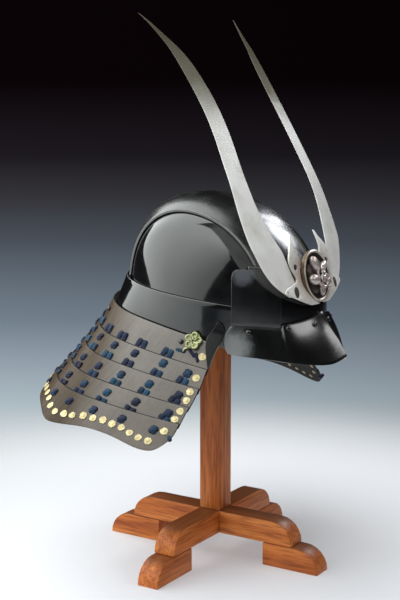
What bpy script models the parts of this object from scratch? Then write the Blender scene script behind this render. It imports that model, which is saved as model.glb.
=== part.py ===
"""Kabuto (samurai helmet) standing on a plain wooden stand.

Row frame: metres, +Z up, the helmet faces -Y and its right side is -X.
Lengths below are in millimetres and are scaled by MM where they are used.
The helmet is modelled upright in its own frame and then leans on the post,
nose down, through the parent empty "helmet".
"""

import math

import bmesh
import bpy
import numpy as np
from mathutils import Vector

MM = 0.001

# Stand
STOCK = 27.0  # square section of beams and post
SEAM = 0.3  # gap between pieces that are glued, lapped or riveted
FOOT_INNER = 72.0
FOOT_REACH = 143.0
BEAM_REACH = 109.5
CAP_RADIUS = 35.0
CAP_THICKNESS = 18.0

# Helmet placement on the post
HELMET_HEIGHT = 300.0
HELMET_PITCH = math.radians(7.5)

# Bowl: each meridian is a superellipse, fuller at the back than at the brow
BOWL_CENTRE_Y = 9.0
BOWL_BACK = 95.0
BOWL_FRONT = 142.0
BOWL_HALF_WIDTH = 97.0
BOWL_TOP = 127.0
BOWL_FULLNESS_BACK = 2.4
BOWL_FULLNESS_FRONT = 1.85
BOWL_SHOULDER_BACK = 26.0
BOWL_SHOULDER_FRONT = -1.0
BOWL_RIM = 12.0
SHEET = 2.0
TOP_PLATE_HALF = 62.0
SIDE_PLATE_FROM = 50.0
CROWN_SHARE = 0.94  # part of the top plate's length on the crown; the rest drops down the nape

# Waist band: upper edge, level of the lower edge on the neck guard, distances off the bowl,
# and the quarter turns where its ends leave the guard's line to hug the bowl
BAND_TOP = 22.4
BAND_LEVEL = 0.14
BAND_FACE = 2.4
BAND_BACK = 0.8
BAND_TUCK = 4.8
BAND_ENDS = [1.995, 2.075]
BAND_HUG = (1.845, 1.945)

# Brow plate and temple plates: bearings, heights and distance off the bowl
BROW_BEARINGS = (130.0, 230.0)
BROW_FOOT = 5.0
BROW_TOP = 66.0
BROW_FACE = 2.5
BROW_SHEET = 1.8
TEMPLE_TOP = 62.5
TEMPLE_RISE = 3.0
TEMPLE_FOOT = 1.6
TEMPLE_FRONT = 147.7
TEMPLE_CORNER = 8.0
TEMPLE_FACE = 4.9
TEMPLE_CLIMBS = [0.0, 0.25, 0.5, 0.75, 0.87, 0.94, 0.98, 1.0]

# Neck guard: U-shaped plan; the pairs are the size at the waist band and its growth per lame
GUARD_HALF_WIDTH = (101.0, 18.08)
GUARD_BACK = (76.4, 5.35)
GUARD_CENTRE_Y = (31.24, 3.44)
GUARD_TILT = (0.1086, -0.0155)
GUARD_FULLNESS = 2.37
GUARD_INWARD = 0.0014  # how quickly the straight arms close in towards the front
LAME = 1.9
LAME_GAP = 0.6
LAMES = 5
OVERLAP = 0.35

# Disc ornament
DISC_RADIUS = 28.8
DISC_DEPTH = 5.0
DISC_TILT = math.radians(20.2)
DISC_CENTRE = (0.0, -125.4, 57.9)

HORN_SHEET = 1.2
HOLDER_SHEET = 1.8

# Height of the neck guard at each level; level 0 is the waist band's lower edge and
# each lame takes up one level
# columns: level, height
GUARD_HEIGHTS = [
    (0.0, -10.8),
    (1.0, -36.9),
    (2.0, -55.8),
    (3.0, -74.1),
    (4.0, -89.9),
    (6.5, -129.5),
]

# Front ends of the lames
# columns: level, quarter turns from the back
GUARD_FRONT = [
    (0.0, 1.912),
    (1.1, 1.978),
    (1.9, 2.023),
    (2.5, 2.055),
    (3.3, 2.078),
    (4.4, 2.127),
    (5.0, 2.155),
    (5.2, 2.130),
    (5.6, 2.120),
    (6.0, 2.120),
]

# Wavy lower edge of the last lame, right half
# columns: quarter turns from the back, level
GUARD_HEM = [
    (0.00, 5.30),
    (0.30, 5.30),
    (0.55, 5.32),
    (0.70, 5.38),
    (0.78, 5.55),
    (0.86, 5.85),
    (0.90, 5.90),
    (0.94, 5.87),
    (0.99, 5.77),
    (1.08, 5.64),
    (1.32, 5.48),
    (1.57, 5.57),
    (1.76, 5.75),
    (1.89, 5.91),
    (1.99, 5.92),
    (2.05, 5.87),
    (2.09, 5.70),
    (2.12, 5.19),
]

# Stations along half a lame, closest where it turns the rear corner and at its front end
LAME_STATIONS = [0.0, 0.06, 0.12, 0.175, 0.23, 0.28, 0.325, 0.365, 0.4, 0.425, 0.45, 0.48]
LAME_STATIONS += [0.53, 0.6, 0.67, 0.74, 0.81, 0.87, 0.925, 0.965, 0.985, 1.0]

# Visor, from the side end to the ridge
# columns: bearing of the upper edge in degrees, its height, x, y and z of the lower edge
VISOR = [
    (124.0, 1.2, 87.0, -75.1, -29.8),
    (129.7, 1.3, 83.0, -91.5, -29.3),
    (135.6, 1.6, 77.0, -105.5, -28.3),
    (143.6, 1.8, 67.0, -123.5, -28.8),
    (148.4, 1.9, 60.0, -131.8, -29.6),
    (149.2, 8.6, 58.6, -133.4, -29.8),
    (152.8, 9.2, 53.0, -139.5, -30.7),
    (162.0, 12.8, 36.0, -154.0, -31.7),
    (170.0, 15.6, 21.0, -163.0, -32.0),
    (175.0, 17.4, 11.0, -168.0, -29.6),
    (178.2, 18.6, 3.6, -172.0, -25.0),
    (180.0, 19.3, 0.0, -173.4, -22.6),
]

VISOR_BULGE = 3.2  # largest rise of its face over a straight slope
VISOR_OFF = 5.2  # its upper edge's distance off the bowl
VISOR_SHEET = 2.2

# Rounded side end of the visor
# columns: x, y, z
VISOR_END = [
    (84.6, -71.4, 1.0),
    (87.2, -68.2, -5.5),
    (88.0, -67.2, -13.2),
    (88.0, -67.9, -21.2),
    (87.6, -70.6, -26.6),
    (87.2, -73.0, -29.2),
]

# Temple plate: rear edge
# columns: height, bearing in degrees
TEMPLE_REAR = [
    (0.0, 123.5),
    (29.0, 122.2),
    (62.0, 121.0),
]

# Lean of the horns and their holder, 75 mm from the middle
# columns: height, y
CREST_LEAN = [
    (24.0, -123.0),
    (30.0, -122.5),
    (37.0, -122.0),
    (44.0, -119.5),
    (54.0, -114.5),
    (71.0, -107.5),
    (86.0, -101.5),
    (97.0, -94.5),
    (117.0, -83.5),
    (139.0, -71.0),
    (158.0, -59.0),
    (172.0, -49.0),
    (195.0, -33.5),
    (218.0, -16.5),
    (241.0, 1.5),
    (264.0, 21.0),
    (276.0, 31.5),
    (287.0, 41.5),
    (298.0, 54.5),
    (306.0, 62.5),
    (311.0, 68.5),
    (316.0, 74.5),
]

# Horn outline
# columns: height, inner x, outer x
HORN = [
    (40.0, 40.0, 58.0),
    (46.0, 39.0, 66.0),
    (54.0, 40.0, 79.0),
    (71.0, 47.5, 91.0),
    (86.0, 51.0, 97.0),
    (95.0, 56.0, 99.8),
    (117.0, 66.0, 100.7),
    (139.0, 69.8, 99.0),
    (158.0, 69.5, 95.7),
    (172.0, 68.0, 94.0),
    (195.0, 64.0, 89.5),
    (218.0, 62.0, 86.7),
    (241.0, 61.5, 86.3),
    (264.0, 65.0, 87.3),
    (276.0, 69.0, 88.0),
    (287.0, 75.8, 89.2),
    (298.0, 83.5, 91.5),
    (306.0, 89.0, 93.8),
    (316.0, 98.0, 99.0),
]

# Horn holder outline, right half; below the prongs it runs on behind the disc
# columns: height, inner x, outer x
HOLDER = [
    (29.0, 0.0, 22.0),
    (31.5, 0.0, 30.0),
    (34.5, 0.0, 39.0),
    (37.5, 0.0, 47.0),
    (40.5, 0.0, 54.5),
    (43.0, 0.0, 61.5),
    (45.5, 0.0, 64.5),
    (48.0, 0.0, 61.5),
    (50.0, 0.0, 56.5),
    (52.0, 0.0, 48.5),
    (54.0, 0.0, 40.0),
    (57.0, 0.0, 38.5),
    (61.0, 0.0, 41.0),
    (66.0, 0.0, 44.6),
    (71.0, 0.0, 46.3),
    (74.0, 0.0, 46.6),
    (76.0, 24.2, 46.6),
    (80.0, 25.8, 45.4),
    (85.0, 27.3, 42.0),
    (90.0, 27.8, 37.6),
    (96.0, 27.6, 31.6),
    (101.0, 27.2, 28.2),
]

# Holes through the holder
# columns: x, height, width, drop
HOLDER_HOLES = [
    (45.0, 44.5, 10.0, 12.0),
    (36.0, 69.0, 8.5, 7.0),
    (60.2, 46.0, 2.6, 2.6),
    (41.5, 78.0, 2.6, 2.6),
]

# Turned-back end of the top lame
# columns: height, y at the front fold, y at the free rear edge
TURNBACK = [
    (3.0, -61.5, -58.6),
    (-1.0, -65.6, -57.3),
    (-6.0, -66.6, -55.0),
    (-10.5, -66.6, -52.6),
    (-18.0, -66.1, -51.3),
    (-27.0, -64.8, -54.9),
    (-36.0, -64.4, -59.3),
    (-44.0, -64.7, -63.6),
]
TURNBACK_FLARE = 0.55

# Visor rivets
# columns: bearing on the right half in degrees, on the left half, share of the way down
VISOR_RIVETS = [(131.6, 131.6, 0.15), (151.4, 151.4, 0.12), (169.0, 176.6, 0.16)]

# Dome rivets of the top lame: quarter turns from the back, level
LAME_RIVETS = [(0.58, 0.35), (1.558, 0.31)]
ROSETTE_PLACE = (1.685, 0.15)
ROSETTE_PETALS = 5

# Rosette section
# columns: radius, height
ROSETTE_SECTION = [
    (2.4, 0.0),
    (9.0, 0.0),
    (9.6, 0.8),
    (7.5, 2.2),
    (5.3, 1.2),
    (3.7, 2.4),
    (2.2, 2.0),
]

BRACKET_HEIGHTS = [50.0, 54.0, 58.0, 62.0, 65.0]
BRACKET_HALF = 9.0


def column(table, at, of):
    """Linear look-up in a table with ascending first column."""
    rows = sorted(table)
    return float(np.interp(at, [r[0] for r in rows], [r[of] for r in rows]))


def smooth_step(value, low, high):
    t = min(max((value - low) / (high - low), 0.0), 1.0)
    return t * t * (3.0 - 2.0 * t)


def spline(rows, count):
    """Catmull-Rom curve through the rows, count points, ends kept."""
    pts = np.array(rows, float)
    padded = np.vstack([2 * pts[0] - pts[1], pts, 2 * pts[-1] - pts[-2]])
    out = []
    for value in np.linspace(0.0, len(pts) - 1.0, count):
        i = min(int(value), len(pts) - 2)
        t = value - i
        p0, p1, p2, p3 = padded[i : i + 4]
        out.append(
            0.5 * (2 * p1 + (p2 - p0) * t + (2 * p0 - 5 * p1 + 4 * p2 - p3) * t * t)
            + 0.5 * (3 * p1 - p0 - 3 * p2 + p3) * t**3
        )
    return np.array(out)


# ---------------------------------------------------------------- surfaces


def bowl_section(theta):
    """Front weight, fullness, shoulder height and depth of the meridian at theta."""
    forward = max(-math.cos(theta), 0.0) ** 2
    fullness = BOWL_FULLNESS_BACK + (BOWL_FULLNESS_FRONT - BOWL_FULLNESS_BACK) * forward
    shoulder = BOWL_SHOULDER_BACK + (BOWL_SHOULDER_FRONT - BOWL_SHOULDER_BACK) * forward
    depth = BOWL_BACK if math.cos(theta) > 0 else BOWL_FRONT
    return fullness, shoulder, depth


def bowl_from_spread(theta, spread, height, off):
    depth = bowl_section(theta)[2]
    x = (BOWL_HALF_WIDTH + off) * math.sin(theta) * spread
    y = BOWL_CENTRE_Y + (depth + off) * math.cos(theta) * spread
    return np.array([x, y, height])


def bowl_at_height(theta, height, off):
    """Point of the bowl at a bearing (0 = back) and height; off is measured outwards."""
    fullness, shoulder, _ = bowl_section(theta)
    rise = (height - shoulder) / (BOWL_TOP + off - shoulder)
    spread = 1.0
    if rise > 0:
        spread = max(1.0 - min(rise, 1.0) ** fullness, 0.0) ** (1.0 / fullness)
    return bowl_from_spread(theta, spread, height, off)


def bowl_climb(theta, climb, off):
    """Point on a meridian: climb < 0 is the upright skirt, climb > 0 an angle."""
    fullness, shoulder, _ = bowl_section(theta)
    if climb <= 0:
        return bowl_from_spread(theta, 1.0, shoulder + 100.0 * climb, off)
    spread = math.cos(climb) ** (2.0 / fullness)
    height = shoulder + (BOWL_TOP + off - shoulder) * math.sin(climb) ** (2.0 / fullness)
    return bowl_from_spread(theta, spread, height, off)


def climb_of_height(theta, height):
    fullness, shoulder, _ = bowl_section(theta)
    if height <= shoulder:
        return (height - shoulder) / 100.0
    rise = (height - shoulder) / (BOWL_TOP - shoulder)
    return math.asin(min(rise, 1.0) ** (fullness / 2.0))


def climb_of_width(theta, width):
    fullness = bowl_section(theta)[0]
    share = min(width / (BOWL_HALF_WIDTH * abs(math.sin(theta))), 1.0)
    return math.acos(share ** (fullness / 2.0))


def bowl_height_over(x, y, off):
    """Height of the bowl above a point of its plan."""
    half = BOWL_HALF_WIDTH + off
    back = BOWL_BACK + off
    front = BOWL_FRONT + off
    depth = back if y > BOWL_CENTRE_Y else front
    theta = math.atan2(x / half, (y - BOWL_CENTRE_Y) / depth)
    fullness, shoulder, _ = bowl_section(theta)
    spread = min(math.hypot(x / half, (y - BOWL_CENTRE_Y) / depth), 1.0)
    return shoulder + (BOWL_TOP + off - shoulder) * (1.0 - spread**fullness) ** (1.0 / fullness)


def guard_point(turn, level, off):
    """Neck guard: turn in quarter turns from the back, past 1 it runs straight forward."""
    side = math.copysign(1.0, turn)
    turn = abs(turn)
    half = GUARD_HALF_WIDTH[0] + GUARD_HALF_WIDTH[1] * level + off
    back = GUARD_BACK[0] + GUARD_BACK[1] * level + off
    centre = GUARD_CENTRE_Y[0] + GUARD_CENTRE_Y[1] * level
    tilt = GUARD_TILT[0] + GUARD_TILT[1] * level
    angle = min(turn, 1.0) * math.pi / 2.0
    run = max(turn - 1.0, 0.0) * 100.0
    x = half * math.sin(angle) ** (2.0 / GUARD_FULLNESS) - GUARD_INWARD * run * run
    y = centre + back * max(math.cos(angle), 0.0) ** (2.0 / GUARD_FULLNESS) - run
    z = column(GUARD_HEIGHTS, level, 1) + tilt * (y - centre)
    return np.array([side * x, y, z])


def crest_y(x, z):
    """The crest is flat behind the disc and sweeps back towards its sides."""
    flat = 12.0 + 33.0 * smooth_step(z, 26.0, 50.0)
    return column(CREST_LEAN, z, 1) + 0.16 * (max(abs(x), flat) - 75.0)


# ---------------------------------------------------------------- mesh helpers


def clear_scene():
    for obj in list(bpy.data.objects):
        bpy.data.objects.remove(obj, do_unlink=True)
    for mesh in list(bpy.data.meshes):
        bpy.data.meshes.remove(mesh)


def material(name, colour, metallic, roughness):
    mat = bpy.data.materials.new(name)
    mat.use_nodes = True
    shader = mat.node_tree.nodes["Principled BSDF"]
    shader.inputs["Base Color"].default_value = (*colour, 1.0)
    shader.inputs["Metallic"].default_value = metallic
    shader.inputs["Roughness"].default_value = roughness
    mat.diffuse_color = (*colour, 1.0)
    return mat


def empty(name, parent=None):
    obj = bpy.data.objects.new(name, None)
    bpy.context.scene.collection.objects.link(obj)
    obj.parent = parent
    return obj


def body(name, verts, faces, look, parent, sharp=35.0):
    """One closed body from vertices in millimetres; normals are turned outwards."""
    bm = bmesh.new()
    made = [bm.verts.new(Vector(v) * MM) for v in verts]
    for face in faces:
        corners = [made[i] for i in dict.fromkeys(face)]
        if len(corners) > 2:
            bm.faces.new(corners)
    bmesh.ops.remove_doubles(bm, verts=bm.verts, dist=1e-6)
    bmesh.ops.dissolve_degenerate(bm, edges=bm.edges, dist=1e-6)
    bmesh.ops.recalc_face_normals(bm, faces=bm.faces)
    mesh = bpy.data.meshes.new(name)
    bm.to_mesh(mesh)
    bm.free()
    mesh.materials.append(look)
    mesh.shade_smooth()
    mesh.set_sharp_from_angle(angle=math.radians(sharp))
    obj = bpy.data.objects.new(name, mesh)
    bpy.context.scene.collection.objects.link(obj)
    obj.parent = parent
    return obj


def shell(name, outer, inner, look, parent, sharp=35.0):
    """Closed sheet between two grids of the same size."""
    rows = len(outer)
    cols = len(outer[0])
    verts = [p for row in outer for p in row] + [p for row in inner for p in row]
    half = rows * cols
    faces = []
    for r in range(rows - 1):
        for c in range(cols - 1):
            a = r * cols + c
            quad = [a, a + 1, a + cols + 1, a + cols]
            faces.append(quad)
            faces.append([half + i for i in reversed(quad)])
    rim = [c for c in range(cols)]
    rim += [r * cols + cols - 1 for r in range(1, rows)]
    rim += [(rows - 1) * cols + c for c in range(cols - 2, -1, -1)]
    rim += [r * cols for r in range(rows - 2, 0, -1)]
    for i, a in enumerate(rim):
        b = rim[(i + 1) % len(rim)]
        faces.append([b, a, half + a, half + b])
    return body(name, verts, faces, look, parent, sharp)


def lathe(name, profile, segments, look, parent, sharp=35.0):
    """Round piece about local Z from (radius, height) corners, closed on itself."""
    verts = []
    for k in range(segments):
        turn = 2.0 * math.pi * k / segments
        for radius, height in profile:
            verts.append((radius * math.cos(turn), radius * math.sin(turn), height))
    count = len(profile)
    faces = []
    for k in range(segments):
        here = k * count
        there = ((k + 1) % segments) * count
        for i in range(count):
            j = (i + 1) % count
            faces.append([here + i, here + j, there + j, there + i])
    return body(name, verts, faces, look, parent, sharp)


def slab(name, outline, axis, half, look, parent, bevel=1.2):
    """Outline in (across, up) pushed both ways along the X or Y axis."""
    verts = []
    for push in (-half, half):
        for across, up in outline:
            verts.append((across, push, up) if axis == "Y" else (push, across, up))
    count = len(outline)
    faces = [list(range(count)), list(range(2 * count - 1, count - 1, -1))]
    for i in range(count):
        j = (i + 1) % count
        faces.append([i, j, count + j, count + i])
    obj = body(name, verts, faces, look, parent, sharp=25.0)
    soften(obj, bevel)
    return obj


def soften(obj, width):
    edge = obj.modifiers.new("eased edges", "BEVEL")
    edge.width = width * MM
    edge.segments = 2
    edge.limit_method = "ANGLE"
    edge.angle_limit = math.radians(50.0)


def stand_out(obj, place, normal, lift):
    """Set a piece modelled about local +Z on a surface."""
    normal = Vector(normal).normalized()
    obj.location = (Vector(place) + normal * lift) * MM
    obj.rotation_mode = "QUATERNION"
    obj.rotation_quaternion = normal.to_track_quat("Z", "Y")


def grid_normals(grid):
    """Unit normals of a grid of points, all on the side away from the bowl's axis."""
    pts = np.array(grid)
    along = np.gradient(pts, axis=1)
    down = np.gradient(pts, axis=0)
    normal = np.cross(along, down)
    normal /= np.linalg.norm(normal, axis=2, keepdims=True)
    away = pts * np.array([1.0, 1.0, 0.0])
    if (normal * away).sum() < 0:
        normal = -normal
    return normal


def mirrored(grid):
    return [[p * np.array([-1.0, 1.0, 1.0]) for p in row] for row in grid]


def pair(name, outer, inner, look, parent):
    """The helmet's right (-X) and left (+X) copy of a sheet given for +X."""
    left = shell(name + "_left", outer, inner, look, parent)
    right = shell(name + "_right", mirrored(outer), mirrored(inner), look, parent)
    return left, right


# ---------------------------------------------------------------- stand


def build_stand(parent):
    wood = material("stand_wood", (0.32, 0.11, 0.05), 0.0, 0.45)
    half = STOCK / 2.0
    for label, turn in (("right", 180), ("left", 0), ("front", 270), ("back", 90)):
        outline = [(FOOT_INNER, 0.0)]
        for k in range(7):
            angle = math.radians(90.0 * k / 6)
            reach = FOOT_REACH - STOCK + STOCK * math.cos(angle)
            outline.append((reach, (STOCK - SEAM / 2.0) * math.sin(angle)))
        outline.append((FOOT_INNER, STOCK - SEAM / 2.0))
        foot = slab("foot_" + label, outline, "Y", half, wood, parent)
        foot.rotation_euler = (0.0, 0.0, math.radians(turn))

    low = STOCK + SEAM / 2.0
    high = 2.0 * STOCK
    middle = 1.5 * STOCK
    notch = half + SEAM / 2.0
    rounded = []
    for k in range(7):
        angle = math.radians(90.0 * k / 6)
        rounded.append((BEAM_REACH - STOCK + STOCK * math.cos(angle), low + (high - low) * math.sin(angle)))
    left = [(-x, z) for x, z in reversed(rounded)]
    upper_notch = [(notch, high), (notch, middle - SEAM / 2), (-notch, middle - SEAM / 2), (-notch, high)]
    lower_notch = [(-notch, low), (-notch, middle + SEAM / 2), (notch, middle + SEAM / 2), (notch, low)]
    slab("beam_x", rounded + upper_notch + left, "Y", half, wood, parent)
    slab("beam_y", rounded + left + lower_notch, "X", half, wood, parent)

    post_top = crown_height(0.0, 0.0) - CAP_THICKNESS - SEAM
    post = [(-half, high + SEAM), (half, high + SEAM), (half, post_top), (-half, post_top)]
    slab("post", post, "Y", half, wood, parent)
    build_rest_cap(wood, parent)


def crown_height(x, y):
    """World height of the inside of the crown above a point of the stand."""
    height = HELMET_HEIGHT + 100.0
    for _ in range(30):
        local_y = y * math.cos(HELMET_PITCH) + (height - HELMET_HEIGHT) * math.sin(HELMET_PITCH)
        over = bowl_height_over(x, local_y, -SHEET - 0.6)
        height = HELMET_HEIGHT + (over + y * math.sin(HELMET_PITCH)) / math.cos(HELMET_PITCH)
    return height


def build_rest_cap(wood, parent):
    base = crown_height(0.0, 0.0) - CAP_THICKNESS
    rings = [0.0, 0.35, 0.7, 1.0]
    segments = 28
    verts = [(0.0, 0.0, crown_height(0.0, 0.0)), (0.0, 0.0, base)]
    for share in rings[1:]:
        for k in range(segments):
            turn = 2.0 * math.pi * k / segments
            x = CAP_RADIUS * share * math.cos(turn)
            y = CAP_RADIUS * share * math.sin(turn)
            verts.append((x, y, crown_height(x, y)))
    for k in range(segments):
        turn = 2.0 * math.pi * k / segments
        verts.append((CAP_RADIUS * math.cos(turn), CAP_RADIUS * math.sin(turn), base))
    faces = []
    for k in range(segments):
        n = (k + 1) % segments
        faces.append([0, 2 + k, 2 + n])
        for ring in range(3):
            a = 2 + ring * segments
            faces.append([a + k, a + segments + k, a + segments + n, a + n])
        last = 2 + 3 * segments
        faces.append([1, last + n, last + k])
    body("rest_cap", verts, faces, wood, parent)


# ---------------------------------------------------------------- bowl


def side_plate_off(x):
    """The side plates dip under the edges of the top plate."""
    return -3.0 + 2.7 * smooth_step(abs(x), 64.0, 80.0)


def build_bowl(parent):
    lacquer = material("bowl_lacquer", (0.012, 0.012, 0.013), 0.0, 0.12)
    start = math.asin(SIDE_PLATE_FROM / BOWL_HALF_WIDTH) + 0.01
    outer = []
    inner = []
    for theta in np.linspace(start, math.pi - start, 21):
        low = climb_of_height(theta, BOWL_RIM)
        high = climb_of_width(theta, SIDE_PLATE_FROM)
        line_out = []
        line_in = []
        for climb in np.linspace(low, max(high, low + 0.02), 9):
            off = side_plate_off(bowl_climb(theta, climb, 0.0)[0])
            line_out.append(bowl_climb(theta, climb, off))
            line_in.append(bowl_climb(theta, climb, off - SHEET + 0.2))
        outer.append(line_out)
        inner.append(line_in)
    pair("side_plate", outer, inner, lacquer, parent)

    outer = []
    inner = []
    for share in np.linspace(0.0, 1.0, 25):
        line_out = []
        line_in = []
        for x in np.linspace(-TOP_PLATE_HALF, TOP_PLATE_HALF, 9):
            for off, line in ((0.0, line_out), (-SHEET, line_in)):
                line.append(over_crown(share, x, off))
        outer.append(line_out)
        inner.append(line_in)
    shell("top_plate", outer, inner, lacquer, parent)


def over_crown(share, x, off):
    """Point of the top plate: share 0 is its brow end, 1 its nape end."""
    half = BOWL_HALF_WIDTH + off
    room = math.sqrt(1.0 - (x / half) ** 2)
    front = brow_end_y(x, off)
    back = BOWL_CENTRE_Y + (BOWL_BACK + off) * room
    middle = (front + back) / 2.0
    reach = (back - front) / 2.0
    y = middle - reach * math.cos(math.pi * min(share / CROWN_SHARE, 1.0))
    z = bowl_height_over(x, y, off)
    if share > CROWN_SHARE:
        z -= (share - CROWN_SHARE) / (1.0 - CROWN_SHARE) * (BOWL_SHOULDER_BACK - BOWL_RIM)
    return np.array([x, y, z])


def brow_end_y(x, off):
    """Where the top plate passes under the brow plate."""
    low = -BOWL_FRONT
    high = 0.0
    for _ in range(40):
        y = (low + high) / 2.0
        depth = BOWL_FRONT + off
        inside = math.hypot(x / (BOWL_HALF_WIDTH + off), (y - BOWL_CENTRE_Y) / depth) < 1.0
        if inside and bowl_height_over(x, y, off) > 50.0:
            high = y
        else:
            low = y
    return high


def build_band(parent):
    lacquer = material("band_lacquer", (0.012, 0.012, 0.013), 0.0, 0.14)
    outer = []
    inner = []
    turns = [share * GUARD_FRONT[0][1] for share in guard_shares()]
    for turn in [-turn for turn in reversed(BAND_ENDS)] + turns + BAND_ENDS:
        low = guard_point(turn, BAND_LEVEL, BAND_FACE - BAND_TUCK)
        depth = BOWL_BACK if low[1] > BOWL_CENTRE_Y else BOWL_FRONT
        along = (low[1] - BOWL_CENTRE_Y) / (depth + BAND_FACE)
        theta = math.atan2(low[0] / (BOWL_HALF_WIDTH + BAND_FACE), along)
        ease = smooth_step(abs(turn), *BAND_HUG)
        line_out = []
        line_in = []
        for share in np.linspace(0.0, 1.0, 3):
            for off, line in ((BAND_FACE, line_out), (BAND_BACK, line_in)):
                top = bowl_at_height(theta, BAND_TOP, off)
                bottom = guard_point(turn, BAND_LEVEL, off - BAND_TUCK)
                hug = bowl_at_height(theta, bottom[2], off)
                bottom = bottom + (hug - bottom) * ease
                line.append(top + (bottom - top) * share)
        outer.append(line_out)
        inner.append(line_in)
    shell("waist_band", outer, inner, lacquer, parent)


def build_brow(parent):
    lacquer = material("brow_lacquer", (0.012, 0.012, 0.013), 0.0, 0.16)
    outer = []
    inner = []
    for bearing in np.linspace(*BROW_BEARINGS, 25):
        theta = math.radians(bearing)
        line_out = []
        line_in = []
        for height in np.linspace(BROW_FOOT, BROW_TOP, 6):
            line_out.append(bowl_at_height(theta, height, BROW_FACE))
            line_in.append(bowl_at_height(theta, height, BROW_FACE - BROW_SHEET))
        outer.append(line_out)
        inner.append(line_in)
    shell("brow_plate", outer, inner, lacquer, parent)

    lacquer = material("temple_lacquer", (0.012, 0.012, 0.013), 0.0, 0.16)
    outer = []
    inner = []
    for share in np.linspace(0.0, 1.0, 7):
        line_out = []
        line_in = []
        for climb in TEMPLE_CLIMBS:
            height = climb * TEMPLE_TOP
            rear = column(TEMPLE_REAR, height, 1)
            over = max(height - (TEMPLE_TOP - TEMPLE_CORNER), 0.0) / TEMPLE_CORNER
            rear += 4.4 * (1.0 - math.sqrt(max(1.0 - over * over, 0.0)))
            bearing = math.radians(rear + (TEMPLE_FRONT - rear) * share)
            bottom = TEMPLE_FOOT + 2.8 * smooth_step(share, 0.0, 0.5)
            top = TEMPLE_TOP + TEMPLE_RISE * smooth_step(share, 0.0, 0.9)
            z = bottom + (top - bottom) * climb
            line_out.append(bowl_at_height(bearing, z, TEMPLE_FACE))
            line_in.append(bowl_at_height(bearing, z, TEMPLE_FACE - SHEET))
        outer.append(line_out)
        inner.append(line_in)
    pair("temple_plate", outer, inner, lacquer, parent)


# ---------------------------------------------------------------- visor


def visor_rows(count, steps):
    """Grid of the visor's outer face for +X, from its side end to the ridge."""
    grid = []
    end = spline(VISOR_END, steps)
    grid.append([p for p in end])
    lower = spline([row[2:5] for row in VISOR], count)
    marks = np.linspace(0.0, len(VISOR) - 1.0, count)
    for mark, low in zip(marks, lower):
        bearing = float(np.interp(mark, range(len(VISOR)), [row[0] for row in VISOR]))
        height = float(np.interp(mark, range(len(VISOR)), [row[1] for row in VISOR]))
        top = bowl_at_height(math.radians(bearing), height, VISOR_OFF)
        away = np.array([0.25 * math.sin(math.radians(bearing)), -0.75, 0.55])
        fullness = VISOR_BULGE * smooth_step(bearing, 140.0, 160.0)
        fullness *= 1.0 - 0.65 * smooth_step(bearing, 160.0, 180.0)
        line = []
        for share in np.linspace(0.0, 1.0, steps):
            bulge = 4.0 * share * (1.0 - share) * fullness
            line.append(top + (low - top) * share + away * bulge)
        grid.append(line)
    return grid


def build_visor(parent):
    lacquer = material("visor_lacquer", (0.012, 0.012, 0.013), 0.0, 0.1)
    rivet_iron = material("rivet_iron", (0.03, 0.03, 0.032), 0.2, 0.25)
    steps = 5
    columns = 17
    right = visor_rows(columns, steps)
    both = right + mirrored(right[:-1])[::-1]
    normals = grid_normals(both)
    inner = [[p - VISOR_SHEET * n for p, n in zip(line, ns)] for line, ns in zip(both, normals)]
    shell("visor", both, inner, lacquer, parent)
    number = 0
    for on_right, on_left, share in VISOR_RIVETS:
        for side, bearing in ((-1.0, on_right), (1.0, on_left)):
            number += 1
            mark = float(np.interp(bearing, [row[0] for row in VISOR], range(len(VISOR))))
            col = mark / (len(VISOR) - 1.0) * (columns - 1.0) + 1.0
            row = share * (steps - 1)
            place = bilinear(right, col, row)
            normal = bilinear(normals[: len(right)], col, row)
            flip = np.array([side, 1.0, 1.0])
            rivet = dome("visor_rivet_%d" % number, 3.3, 2.0, rivet_iron, parent)
            stand_out(rivet, place * flip, normal * flip, 0.35)


def bilinear(grid, col, row):
    c = min(int(col), len(grid) - 2)
    r = min(int(row), len(grid[0]) - 2)
    u = col - c
    v = row - r
    near = np.array(grid[c][r]) * (1 - v) + np.array(grid[c][r + 1]) * v
    far = np.array(grid[c + 1][r]) * (1 - v) + np.array(grid[c + 1][r + 1]) * v
    return near * (1 - u) + far * u


def dome(name, radius, height, look, parent):
    profile = [(0.0, 0.0), (radius, 0.0)]
    for k in range(1, 3):
        angle = math.radians(90.0 * k / 3)
        profile.append((radius * math.cos(angle), height * math.sin(angle)))
    profile.append((0.0, height))
    return lathe(name, profile, 10, look, parent)


# ---------------------------------------------------------------- neck guard


def guard_shares():
    """Shares of the half length of a lame, from its left front end to its right one."""
    half = np.array(LAME_STATIONS)
    return np.concatenate([-half[:0:-1], half])


def build_neck_guard(parent):
    lacquer = material("lame_lacquer", (0.33, 0.29, 0.24), 0.0, 0.42)
    for index in range(LAMES):
        outer = []
        inner = []
        for share in guard_shares():
            line_out = []
            line_in = []
            for climb in np.linspace(0.0, 1.0, 4):
                lower = index + 1.0 + OVERLAP
                if index == LAMES - 1:
                    lower = column(GUARD_HEM, abs(share) * GUARD_HEM[-1][0], 1)
                level = index + (lower - index) * climb
                end = column(GUARD_FRONT, level, 1)
                turn = share * end
                off = (LAME + LAME_GAP) * (1.0 - (level - index))
                line_out.append(guard_point(turn, level, off))
                line_in.append(guard_point(turn, level, off - LAME))
            outer.append(line_out)
            inner.append(line_in)
        shell("lame_%d" % (index + 1), outer, inner, lacquer, parent)


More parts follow.
